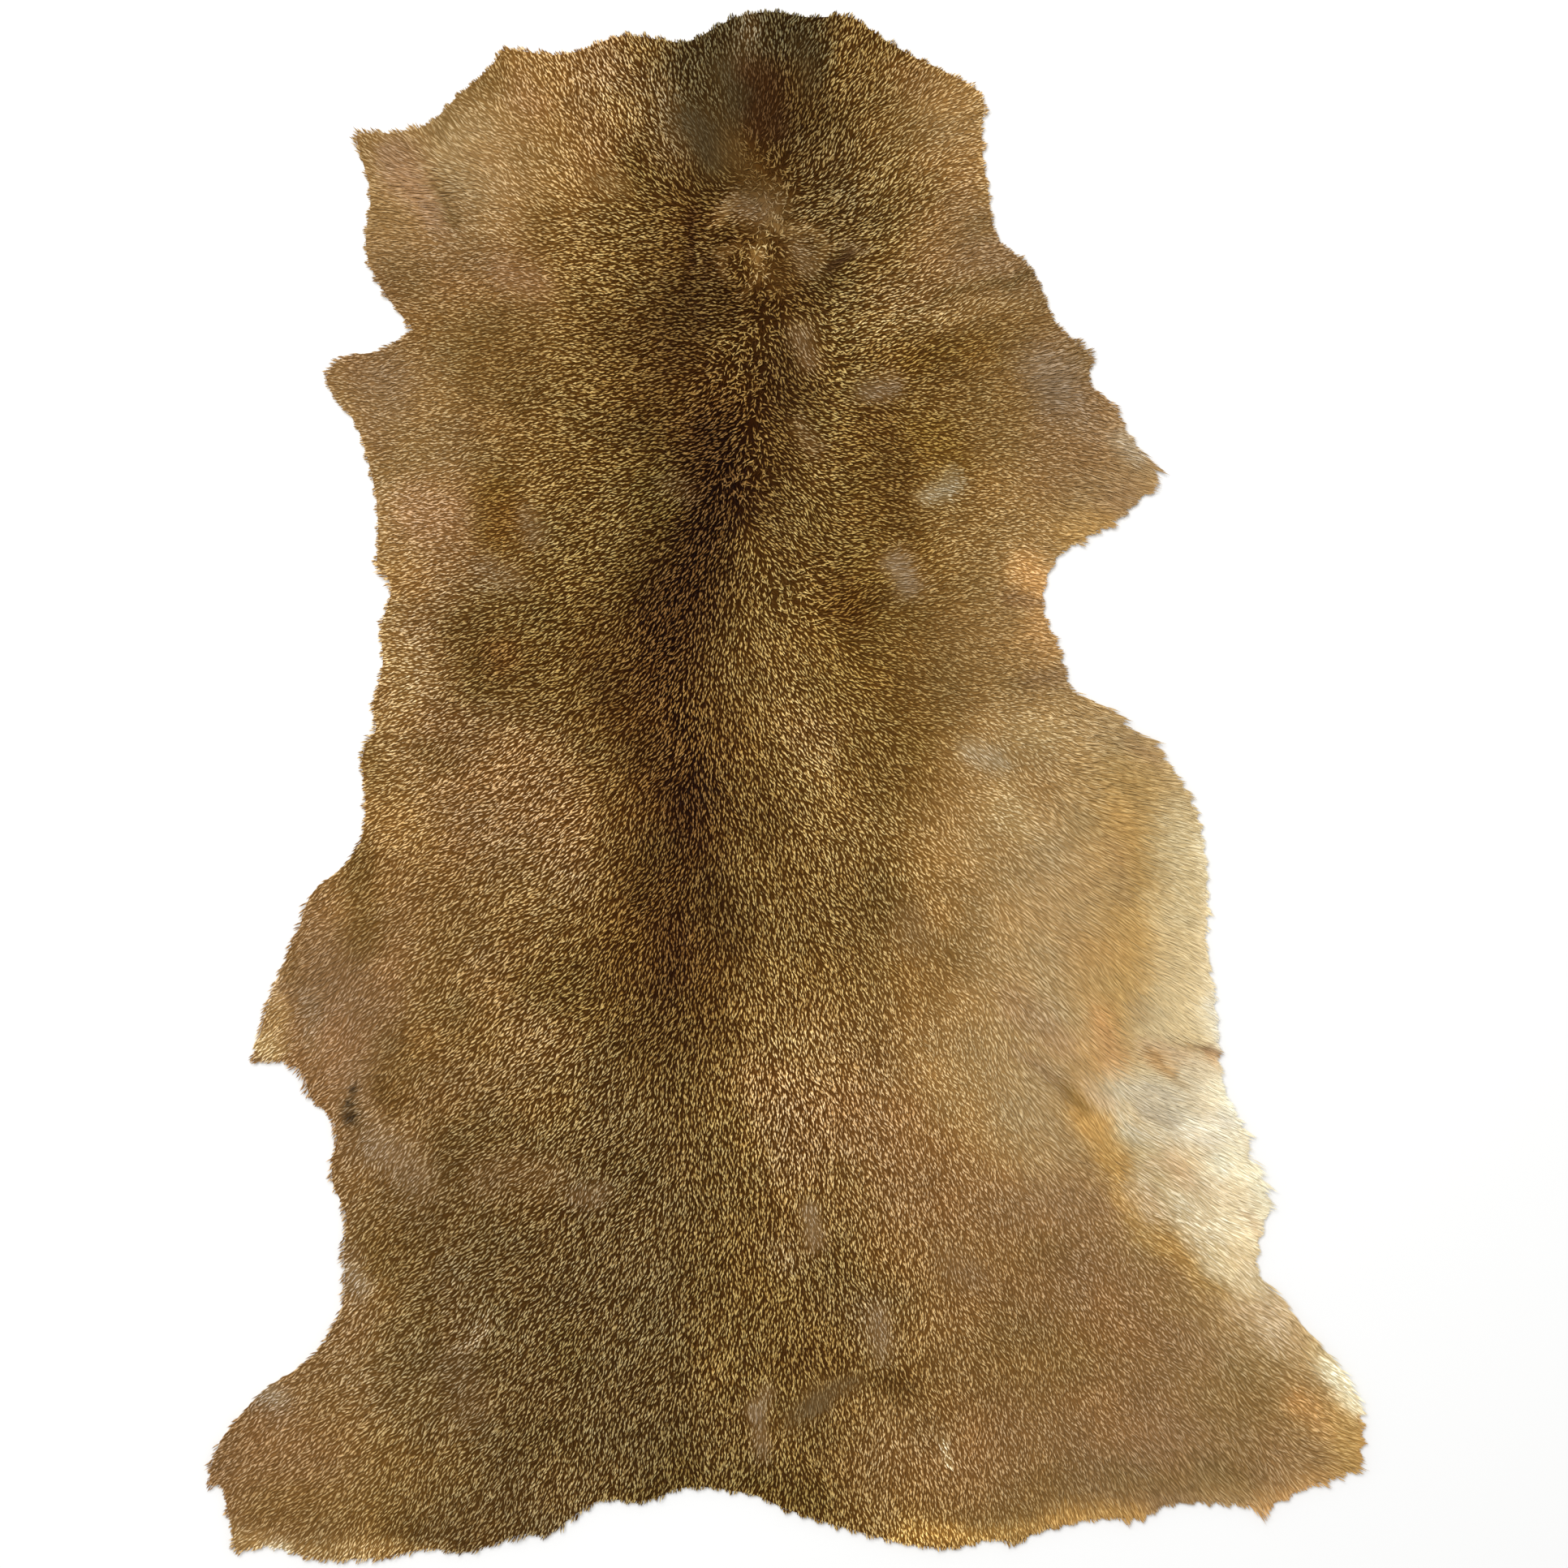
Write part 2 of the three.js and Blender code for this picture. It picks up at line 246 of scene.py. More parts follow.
# Markings, and rows of painted light and shade along creases, laid one over the other: tone, from across and
# down, to across and down, half-width, strength
MARKS_AND_PAINTED_CREASE_SHADING = [
    ("sand", 590, 180, 610, 250, 75, 0.6), ("tan", 650, 110, 700, 210, 60, 0.6),
    ("sand", 500, 170, 560, 190, 40, 0.4), ("rosy", 640, 110, 660, 130, 24, 0.5),
    ("agouti", 588, 92, 612, 106, 22, 0.6), ("agouti", 610, 70, 540, 160, 16, 0.5),
    ("tan", 470, 220, 470, 290, 36, 0.5), ("rosy", 500, 205, 550, 275, 26, 0.5),
    # Next line: a darker line down the crease beside the smooth tongue, painted shadow in its dip
    ("agouti", 544, 214, 572, 272, 7, 0.75), ("back", 554, 236, 573, 276, 5, 0.7),
    ("fawn", 512, 192, 530, 212, 16, 0.7), ("fawn", 480, 340, 600, 340, 46, 0.6),
    ("agouti", 488, 330, 520, 350, 22, 0.45), ("agouti", 560, 395, 640, 400, 36, 0.5),
    ("fawn", 640, 330, 660, 350, 26, 0.5), ("agouti", 680, 270, 700, 320, 28, 0.7),
    ("fawn", 730, 130, 740, 200, 30, 0.5), ("tan", 757, 130, 762, 150, 20, 0.7),
    ("fawn", 740, 60, 760, 70, 30, 0.5), ("agouti", 785, 50, 800, 60, 24, 0.6),
    ("moss", 785, 205, 800, 225, 24, 0.5), ("mauve", 825, 130, 835, 190, 22, 0.5),
    ("slate", 870, 50, 870, 120, 40, 0.85), ("slate", 985, 50, 985, 90, 36, 0.8),
    ("sepia", 976, 105, 992, 150, 28, 0.9), ("bister", 1050, 45, 1066, 75, 22, 0.6),
    ("umber", 930, 105, 940, 160, 28, 0.75), ("mauve", 925, 20, 925, 45, 12, 0.4),
    ("agouti", 1045, 40, 1050, 110, 30, 0.6), ("back", 1080, 62, 1090, 68, 20, 0.7),
    ("agouti", 1075, 150, 1090, 210, 36, 0.6), ("tan", 1160, 130, 1170, 170, 50, 0.7),
    ("sand", 1190, 110, 1200, 130, 20, 0.6), ("fawn", 1120, 100, 1120, 105, 24, 0.5),
    ("tan", 1210, 180, 1212, 230, 20, 0.5), ("back", 1120, 240, 1140, 232, 16, 0.5),
    ("back", 1085, 250, 1088, 262, 16, 0.6), ("tan", 1180, 262, 1208, 248, 18, 0.5),
    # Next line: the agouti row is painted shade along a crease; the tan spot is the coat's own tone
    ("tan", 1188, 282, 1204, 290, 12, 0.5), ("agouti", 1170, 298, 1230, 275, 18, 0.6),
    ("fawn", 1150, 320, 1240, 322, 30, 0.5), ("agouti", 1130, 365, 1250, 345, 9, 0.4),
    ("fawn", 1090, 375, 1130, 370, 32, 0.5), ("sand", 1085, 400, 1118, 396, 24, 0.4),
    ("back", 1050, 290, 1065, 320, 22, 0.6), ("moss", 1000, 345, 1045, 308, 14, 0.8),
    ("bister", 945, 310, 960, 350, 34, 0.6), ("bister", 870, 210, 880, 260, 34, 0.6),
    ("moss", 915, 200, 925, 215, 26, 0.5), ("mauve", 915, 250, 935, 255, 20, 0.5),
    ("rump", 1000, 200, 1010, 270, 40, 0.4), ("sepia", 937, 195, 940, 215, 20, 0.6),
    # The next five lines hold the neck's wrinkles: most pale rows run along raised creases, painted light on
    # their ridges, and most umber rows run along dips, painted shade in them
    ("fawn", 895, 246, 886, 277, 5, 0.7), ("agouti", 886, 277, 884, 340, 5, 0.5),
    ("agouti", 884, 340, 896, 430, 5, 0.4), ("umber", 862, 258, 858, 342, 6, 0.8),
    ("umber", 858, 345, 868, 440, 6, 0.4), ("umber", 882, 325, 884, 348, 6, 0.7),
    ("agouti", 838, 250, 834, 335, 5, 0.4), ("umber", 905, 300, 898, 400, 5, 0.4),
    ("agouti", 922, 330, 914, 400, 5, 0.4), ("agouti", 874, 300, 870, 345, 4, 0.5),
    ("rump", 965, 256, 1005, 266, 8, 0.6), ("sepia", 860, 212, 872, 232, 12, 0.5),
    ("agouti", 790, 300, 800, 340, 30, 0.3), ("back", 915, 325, 925, 325, 14, 0.5),
    ("back", 905, 420, 930, 420, 26, 0.6), ("back", 905, 465, 915, 470, 18, 0.6),
    ("sepia", 845, 400, 850, 460, 22, 0.6), ("sepia", 940, 470, 990, 480, 22, 0.6),
    ("sepia", 885, 365, 950, 380, 18, 0.5), ("agouti", 1010, 400, 1060, 390, 24, 0.4),
    ("bister", 1120, 440, 1170, 440, 34, 0.55), ("golden", 1120, 440, 1205, 430, 22, 0.5),
    ("back", 1200, 412, 1250, 430, 24, 0.4), ("sand", 1050, 408, 1160, 394, 10, 0.35),
    # The moss lines on the next two lines run along the dips of creases: painted shade in them
    ("moss", 1290, 333, 1215, 352, 4, 0.45), ("moss", 1215, 352, 1120, 385, 4, 0.4),
    ("moss", 1120, 385, 1030, 418, 4, 0.3), ("moss", 1175, 388, 1070, 427, 4, 0.35),
    ("sand", 1160, 394, 1285, 366, 11, 0.4), ("sand", 1205, 110, 1216, 240, 13, 0.5),
    ("sand", 1225, 262, 1290, 325, 12, 0.35), ("mauve", 1280, 455, 1300, 475, 40, 0.5),
    ("agouti", 1325, 435, 1335, 445, 22, 0.5), ("agouti", 1250, 395, 1290, 395, 22, 0.4),
    ("back", 600, 460, 640, 470, 46, 0.5), ("fawn", 440, 460, 500, 475, 34, 0.4),
    ("fawn", 465, 535, 470, 540, 22, 0.5), ("tan", 540, 500, 550, 500, 24, 0.3),
    ("tan", 520, 560, 550, 580, 40, 0.5), ("tan", 592, 555, 606, 570, 22, 0.35),
    ("rosy", 520, 630, 535, 640, 42, 0.75), ("fawn", 575, 650, 565, 700, 26, 0.5),
    ("golden", 620, 612, 622, 655, 27, 0.85), ("russet", 620, 628, 622, 655, 22, 0.4),
    ("back", 608, 560, 632, 568, 26, 0.45), ("agouti", 645, 660, 650, 675, 18, 0.4),
    ("mauve", 600, 710, 605, 716, 18, 0.4), ("tan", 500, 720, 520, 730, 30, 0.4),
    ("sand", 465, 770, 495, 850, 24, 0.55), ("bister", 582, 775, 598, 805, 26, 0.55),
    ("russet", 615, 805, 625, 815, 18, 0.5), ("moss", 695, 752, 705, 768, 24, 0.35),
    ("bister", 735, 762, 765, 790, 32, 0.55), ("sepia", 740, 825, 770, 835, 24, 0.7),
    ("back", 680, 770, 700, 850, 34, 0.4), ("sand", 515, 815, 520, 850, 26, 0.35),
    ("fawn", 480, 850, 480, 860, 14, 0.4), ("back", 540, 925, 550, 935, 20, 0.5),
    ("fawn", 545, 886, 575, 902, 24, 0.5), ("fawn", 620, 910, 670, 940, 46, 0.7),
    ("agouti", 455, 930, 460, 960, 20, 0.6), ("silver", 480, 470, 490, 830, 80, 0.1),
    ("silver", 1180, 230, 1200, 330, 80, 0.09), ("russet", 790, 420, 860, 500, 60, 0.2),
    ("silver", 470, 1400, 480, 1760, 80, 0.08), ("umber", 885, 530, 890, 590, 22, 0.6),
    ("moss", 815, 600, 830, 620, 24, 0.6), ("umber", 862, 685, 850, 725, 22, 0.6),
    ("sepia", 800, 675, 815, 680, 22, 0.6), ("back", 930, 660, 945, 690, 26, 0.7),
    ("umber", 830, 730, 820, 800, 34, 0.5), ("russet", 866, 866, 878, 900, 30, 0.35),
    ("russet", 800, 830, 815, 1180, 80, 0.3), ("back", 750, 560, 765, 590, 40, 0.4),
    ("agouti", 755, 635, 765, 665, 30, 0.35), ("bister", 752, 430, 768, 455, 38, 0.45),
    ("bister", 940, 540, 950, 600, 34, 0.6), ("bister", 1085, 520, 1105, 640, 36, 0.75),
    ("golden", 1140, 545, 1165, 570, 27, 0.7), ("back", 1010, 600, 1050, 640, 50, 0.6),
    ("agouti", 1000, 540, 1005, 575, 20, 0.4), ("tan", 1162, 655, 1180, 680, 24, 0.4),
    ("tan", 1210, 620, 1260, 630, 36, 0.5), ("mauve", 1310, 510, 1330, 520, 30, 0.4),
    ("fawn", 1290, 570, 1330, 560, 40, 0.4), ("silver", 1372, 540, 1380, 550, 16, 0.6),
    ("fawn", 1352, 622, 1376, 604, 19, 0.55), ("ochre", 1310, 660, 1340, 645, 24, 0.5),
    ("sand", 1235, 680, 1245, 695, 22, 0.6), ("orange", 1255, 700, 1275, 725, 22, 0.85),
    # Next line: the fawn row runs along a crease's dip, painted shade in it
    ("straw", 1258, 702, 1272, 722, 20, 0.2), ("fawn", 1235, 728, 1285, 752, 9, 0.7),
    ("orange", 1275, 775, 1285, 795, 24, 0.6), ("bister", 1015, 700, 1035, 720, 26, 0.6),
    ("rust", 1038, 748, 1054, 756, 21, 0.85), ("bister", 1070, 742, 1085, 738, 14, 0.6),
    ("back", 930, 740, 990, 780, 50, 0.4), ("back", 1100, 800, 1120, 860, 50, 0.7),
    ("agouti", 1150, 840, 1180, 850, 34, 0.5), ("agouti", 1135, 725, 1180, 730, 28, 0.4),
    ("fawn", 1262, 842, 1305, 835, 16, 0.6), ("agouti", 1232, 850, 1258, 850, 14, 0.5),
    ("fawn", 985, 893, 1015, 910, 26, 0.4), ("tan", 990, 930, 1010, 950, 20, 0.3),
    ("back", 1070, 890, 1080, 950, 36, 0.7), ("sand", 1240, 890, 1270, 910, 40, 0.6),
    ("sand", 1310, 885, 1360, 900, 30, 0.8), ("honey", 1380, 945, 1385, 955, 26, 0.5),
    ("fawn", 1380, 912, 1410, 930, 8, 0.4), ("sand", 1400, 900, 1415, 912, 14, 0.7),
    ("bister", 870, 870, 940, 1000, 36, 0.5), ("umber", 848, 975, 845, 1020, 28, 0.6),
    ("sepia", 815, 1040, 800, 1080, 26, 0.7), ("bister", 760, 1030, 770, 1060, 24, 0.4),
    ("sand", 1215, 1020, 1245, 1045, 60, 0.6), ("straw", 1232, 988, 1250, 1006, 28, 0.35),
    ("straw", 1262, 898, 1286, 905, 20, 0.25), ("tan", 1270, 965, 1275, 975, 26, 0.3),
    ("honey", 1370, 960, 1382, 1130, 24, 0.8), ("tan", 1354, 1040, 1362, 1095, 14, 0.6),
    ("straw", 1400, 1095, 1410, 1128, 12, 0.35), ("straw", 1438, 1010, 1445, 1120, 28, 0.7),
    ("butter", 1478, 1030, 1484, 1200, 13, 0.7), ("honey", 1350, 1165, 1385, 1195, 26, 0.7),
    ("tan", 1310, 1150, 1330, 1165, 26, 0.4), ("straw", 1440, 1140, 1450, 1170, 30, 0.6),
    ("straw", 1440, 1205, 1450, 1262, 36, 0.95), ("ivory", 1482, 1225, 1490, 1268, 13, 0.8),
    ("butter", 1462, 1232, 1476, 1260, 14, 0.5), ("orange", 1338, 1242, 1354, 1296, 20, 0.85),
    ("sand", 1392, 1225, 1400, 1240, 14, 0.5), ("sand", 1230, 1200, 1300, 1280, 40, 0.7),
    # The fawn row at the end of the next line and the agouti row after it run along creases' dips: painted
    # shade in them
    ("rosy", 1245, 1225, 1300, 1280, 18, 0.4), ("fawn", 1240, 1280, 1295, 1325, 8, 0.7),
    ("agouti", 1292, 1322, 1328, 1356, 6, 0.8), ("sand", 1180, 1300, 1240, 1360, 70, 0.6),
    ("tan", 1180, 1400, 1250, 1430, 50, 0.5), ("back", 1050, 1090, 1080, 1130, 40, 0.6),
    ("mauve", 1118, 1135, 1125, 1155, 26, 0.4), ("tan", 1145, 1080, 1160, 1120, 30, 0.4),
    ("agouti", 1155, 1170, 1165, 1180, 26, 0.4), ("agouti", 1015, 1030, 1025, 1045, 26, 0.5),
    ("bister", 940, 1010, 960, 1050, 24, 0.5), ("back", 960, 1080, 990, 1170, 46, 0.5),
    ("sepia", 870, 1090, 905, 1150, 30, 0.5), ("umber", 826, 1140, 812, 1215, 22, 0.45),
    ("bister", 775, 1160, 790, 1250, 30, 0.6), ("bister", 860, 1240, 900, 1260, 34, 0.5),
    ("agouti", 930, 1250, 960, 1280, 30, 0.6), ("fawn", 940, 1330, 970, 1400, 34, 0.5),
    ("tan", 985, 1288, 1015, 1310, 30, 0.35), ("sand", 1225, 1385, 1260, 1410, 40, 0.5),
    ("agouti", 1108, 1188, 1135, 1210, 26, 0.4), ("back", 900, 1360, 908, 1375, 14, 0.6),
    ("tan", 510, 1000, 520, 1030, 36, 0.6), ("fawn", 620, 980, 690, 1020, 60, 0.8),
    ("fawn", 715, 1060, 718, 1085, 22, 0.6), ("agouti", 550, 1100, 640, 1100, 50, 0.4),
    ("back", 455, 1060, 455, 1150, 24, 0.7), ("fawn", 390, 1120, 400, 1160, 26, 0.5),
    ("agouti", 360, 1170, 370, 1200, 16, 0.4), ("agouti", 575, 1170, 560, 1250, 50, 0.5),
    ("fawn", 610, 1190, 660, 1270, 40, 0.5), ("back", 660, 1205, 740, 1230, 30, 0.7),
    ("dove", 384, 1226, 390, 1278, 17, 0.75), ("rosy", 415, 1250, 420, 1320, 24, 0.35),
    ("blush", 343, 1200, 346, 1232, 9, 0.8), ("sand", 344, 1242, 338, 1270, 15, 0.85),
    ("straw", 318, 1282, 338, 1297, 14, 0.7), ("bister", 476, 1336, 496, 1356, 17, 0.75),
    ("fawn", 540, 1340, 640, 1320, 36, 0.5), ("back", 498, 1288, 505, 1316, 34, 0.55),
    ("fawn", 695, 1290, 705, 1310, 30, 0.35), ("dove", 465, 1400, 520, 1440, 32, 0.8),
    ("rump", 435, 1360, 438, 1375, 12, 0.5), ("rump", 600, 1430, 760, 1430, 60, 0.5),
    ("moss", 770, 1440, 790, 1440, 24, 0.5), ("mauve", 725, 1465, 735, 1472, 20, 0.5),
    ("bister", 550, 1425, 560, 1440, 22, 0.5), ("rump", 540, 1500, 560, 1560, 60, 0.5),
    ("rump", 730, 1300, 740, 1310, 20, 0.4), ("back", 480, 1540, 500, 1550, 34, 0.6),
    ("mauve", 436, 1545, 440, 1580, 16, 0.7), ("mauve", 565, 1570, 575, 1650, 24, 0.35),
    ("back", 525, 1615, 530, 1620, 20, 0.3), ("rump", 640, 1500, 720, 1800, 150, 0.6),
    ("moss", 700, 1650, 710, 1680, 24, 0.4), ("moss", 660, 1760, 690, 1770, 30, 0.3),
    ("rump", 560, 1885, 650, 1860, 34, 0.6), ("rump", 800, 1450, 830, 1800, 70, 0.5),
    ("mauve", 440, 1630, 455, 1720, 34, 0.35), ("agouti", 450, 1800, 560, 1810, 40, 0.5),
    ("fawn", 330, 1760, 400, 1800, 50, 0.6), ("mauve", 330, 1722, 345, 1738, 22, 0.6),
    ("agouti", 330, 1850, 420, 1856, 34, 0.6), ("back", 480, 1880, 500, 1870, 20, 0.4),
    ("back", 855, 1530, 880, 1700, 24, 0.4), ("moss", 840, 1800, 850, 1820, 30, 0.5),
    ("moss", 760, 1850, 900, 1820, 24, 0.4), ("back", 900, 1560, 930, 1650, 30, 0.4),
    ("mauve", 960, 1525, 970, 1545, 20, 0.5), ("bister", 950, 1500, 955, 1510, 20, 0.4),
    ("back", 1000, 1480, 1010, 1560, 24, 0.4), ("fawn", 1090, 1400, 1150, 1450, 50, 0.6),
    ("agouti", 1030, 1440, 1045, 1450, 22, 0.5), ("rump", 1010, 1590, 1060, 1600, 34, 0.5),
    ("mauve", 1070, 1610, 1080, 1640, 22, 0.5), ("bister", 1000, 1670, 1035, 1675, 22, 0.6),
    ("bister", 1095, 1700, 1110, 1705, 18, 0.7), ("rump", 980, 1738, 1048, 1700, 18, 0.5),
    ("moss", 940, 1820, 1010, 1850, 24, 0.6), ("back", 980, 1780, 1060, 1800, 30, 0.4),
    ("fawn", 1100, 1790, 1200, 1800, 60, 0.6), ("cream", 1160, 1764, 1171, 1796, 4, 0.7),
    ("dove", 604, 1616, 580, 1656, 9, 0.6), ("agouti", 1170, 1560, 1270, 1540, 40, 0.5),
    ("fawn", 1220, 1470, 1320, 1480, 36, 0.6), ("fawn", 1365, 1485, 1370, 1495, 20, 0.5),
    ("agouti", 1240, 1650, 1300, 1660, 50, 0.6), ("fawn", 1380, 1600, 1460, 1640, 50, 0.6),
    ("agouti", 1470, 1745, 1535, 1705, 50, 0.6), ("fawn", 1200, 1760, 1440, 1760, 50, 0.6),
    ("agouti", 1380, 1818, 1530, 1806, 24, 0.7), ("fawn", 1560, 1800, 1600, 1790, 34, 0.5),
    ("ochre", 1322, 1355, 1362, 1418, 17, 0.85), ("ochre", 1352, 1418, 1376, 1468, 12, 0.7),
    ("straw", 1388, 1414, 1398, 1444, 13, 0.7), ("blush", 1376, 1452, 1386, 1468, 9, 0.5),
    ("honey", 1390, 1490, 1430, 1530, 16, 0.7), ("honey", 1430, 1530, 1485, 1582, 15, 0.8),
    ("tan", 1440, 1600, 1495, 1606, 22, 0.7), ("tan", 1510, 1620, 1600, 1700, 28, 0.5),
    ("straw", 1376, 1385, 1404, 1412, 12, 0.8), ("pearl", 1362, 1328, 1426, 1344, 24, 0.9),
    ("pearl", 1356, 1348, 1376, 1374, 13, 0.8), ("pearl", 1392, 1384, 1432, 1400, 17, 0.8),
    ("blush", 1328, 1320, 1352, 1350, 10, 0.8), ("grey", 1398, 1352, 1424, 1372, 13, 0.7),
    ("grey", 1398, 1324, 1436, 1342, 6, 0.4), ("blush", 1398, 1286, 1440, 1294, 13, 0.8),
    ("orange", 1470, 1294, 1484, 1300, 9, 0.8), ("wheat", 1454, 1306, 1482, 1318, 12, 0.9),
    # The tan row at the end of the next line and both rows of the line after it lie in creases' dips on the
    # pale belly: painted shade in them
    ("orange", 1408, 1298, 1430, 1312, 7, 0.8), ("tan", 1436, 1281, 1462, 1287, 5, 0.6),
    ("fawn", 1462, 1287, 1500, 1298, 5, 0.9), ("tan", 1400, 1289, 1445, 1326, 5, 0.6),
    ("ivory", 1492, 1266, 1494, 1278, 10, 0.8), ("wheat", 1448, 1345, 1468, 1358, 18, 0.8),
    ("butter", 1482, 1330, 1488, 1345, 15, 0.9), ("cream", 1504, 1335, 1530, 1378, 20, 0.9),
    ("ivory", 1452, 1384, 1496, 1384, 19, 0.9), ("cream", 1440, 1372, 1530, 1398, 5, 0.5),
    ("cream", 1396, 1372, 1430, 1388, 4, 0.2), ("blush", 1402, 1430, 1410, 1484, 13, 0.8),
    ("blush", 1428, 1420, 1456, 1440, 15, 0.8), ("straw", 1412, 1444, 1426, 1460, 11, 0.6),
    ("wheat", 1440, 1470, 1474, 1505, 22, 0.9), ("wheat", 1478, 1428, 1494, 1472, 16, 0.85),
    ("blush", 1430, 1452, 1480, 1452, 6, 0.4), ("wheat", 1440, 1488, 1458, 1508, 14, 0.7),
    ("butter", 1490, 1422, 1510, 1440, 14, 0.8), ("cream", 1502, 1416, 1538, 1452, 19, 0.9),
    ("butter", 1500, 1496, 1540, 1506, 21, 0.9), ("wheat", 1494, 1538, 1536, 1560, 19, 0.8),
    # Next line: the blush row lies in a crease's dip, painted shade in it
    ("straw", 1480, 1520, 1520, 1560, 6, 0.5), ("blush", 1514, 1490, 1552, 1512, 4, 0.6),
    ("cream", 1542, 1470, 1552, 1490, 9, 0.7), ("wheat", 1532, 1572, 1545, 1580, 15, 0.7),
    ("blush", 1520, 1600, 1560, 1604, 15, 0.7), ("honey", 1480, 1570, 1510, 1590, 6, 0.6),
    ("blush", 1556, 1620, 1586, 1645, 22, 0.8), ("blush", 1540, 1632, 1562, 1650, 14, 0.6),
    ("sand", 1588, 1650, 1614, 1692, 18, 0.5), ("straw", 1626, 1656, 1656, 1704, 15, 0.85),
    ("cream", 1630, 1680, 1664, 1722, 16, 0.9), ("golden", 1308, 1328, 1328, 1350, 6, 0.5),
    ("orange", 1592, 1726, 1626, 1752, 20, 0.5), ("honey", 1645, 1745, 1655, 1800, 20, 0.7),
    ("honey", 1490, 1828, 1515, 1826, 20, 0.3), ("orange", 1530, 1855, 1610, 1830, 20, 0.6),
    ("ochre", 1300, 1868, 1400, 1857, 15, 0.8), ("tan", 1420, 1852, 1560, 1838, 12, 0.6),
    ("honey", 1110, 1887, 1280, 1882, 15, 0.9), ("sand", 282, 1893, 330, 1900, 15, 0.95),
    ("ivory", 340, 1903, 356, 1906, 9, 0.8), ("sand", 372, 1910, 452, 1911, 13, 0.8),
    ("sand", 452, 1911, 545, 1907, 12, 0.8), ("sand", 452, 600, 462, 690, 12, 0.5),
    ("sand", 425, 500, 450, 560, 10, 0.5), ("sand", 440, 260, 450, 320, 10, 0.5),
    ("tan", 420, 460, 430, 490, 14, 0.4),
]

# How coarse the light and dark hairs mix: across and down, half-width, strength, grain from 0 to 1
GRAIN = [
    (560, 200, 120, 0.8, 0.14), (480, 280, 70, 0.7, 0.2), (610, 370, 90, 0.55, 0.36),
    (560, 470, 80, 0.5, 0.4), (520, 600, 100, 0.7, 0.35), (460, 470, 70, 0.7, 0.25),
    (560, 1000, 160, 0.5, 0.7), (405, 1200, 90, 0.8, 0.22), (440, 1320, 60, 0.7, 0.25),
    (360, 1760, 100, 0.5, 0.4), (660, 1650, 240, 0.6, 0.88), (950, 1650, 220, 0.6, 0.92),
    (1160, 140, 70, 0.8, 0.24), (1200, 300, 80, 0.8, 0.24), (1300, 500, 90, 0.8, 0.3),
    (1180, 620, 120, 0.5, 0.5), (1250, 800, 90, 0.7, 0.3), (1260, 950, 110, 0.7, 0.36),
    (1250, 1250, 120, 0.6, 0.34), (1420, 1050, 130, 0.9, 0.08), (1430, 1300, 150, 0.97, 0.0),
    (1520, 1500, 120, 0.97, 0.0), (1320, 1640, 190, 0.75, 0.5), (1560, 1740, 110, 0.7, 0.32),
    (1100, 1780, 90, 0.5, 0.5), (1120, 1430, 90, 0.4, 0.5),
]

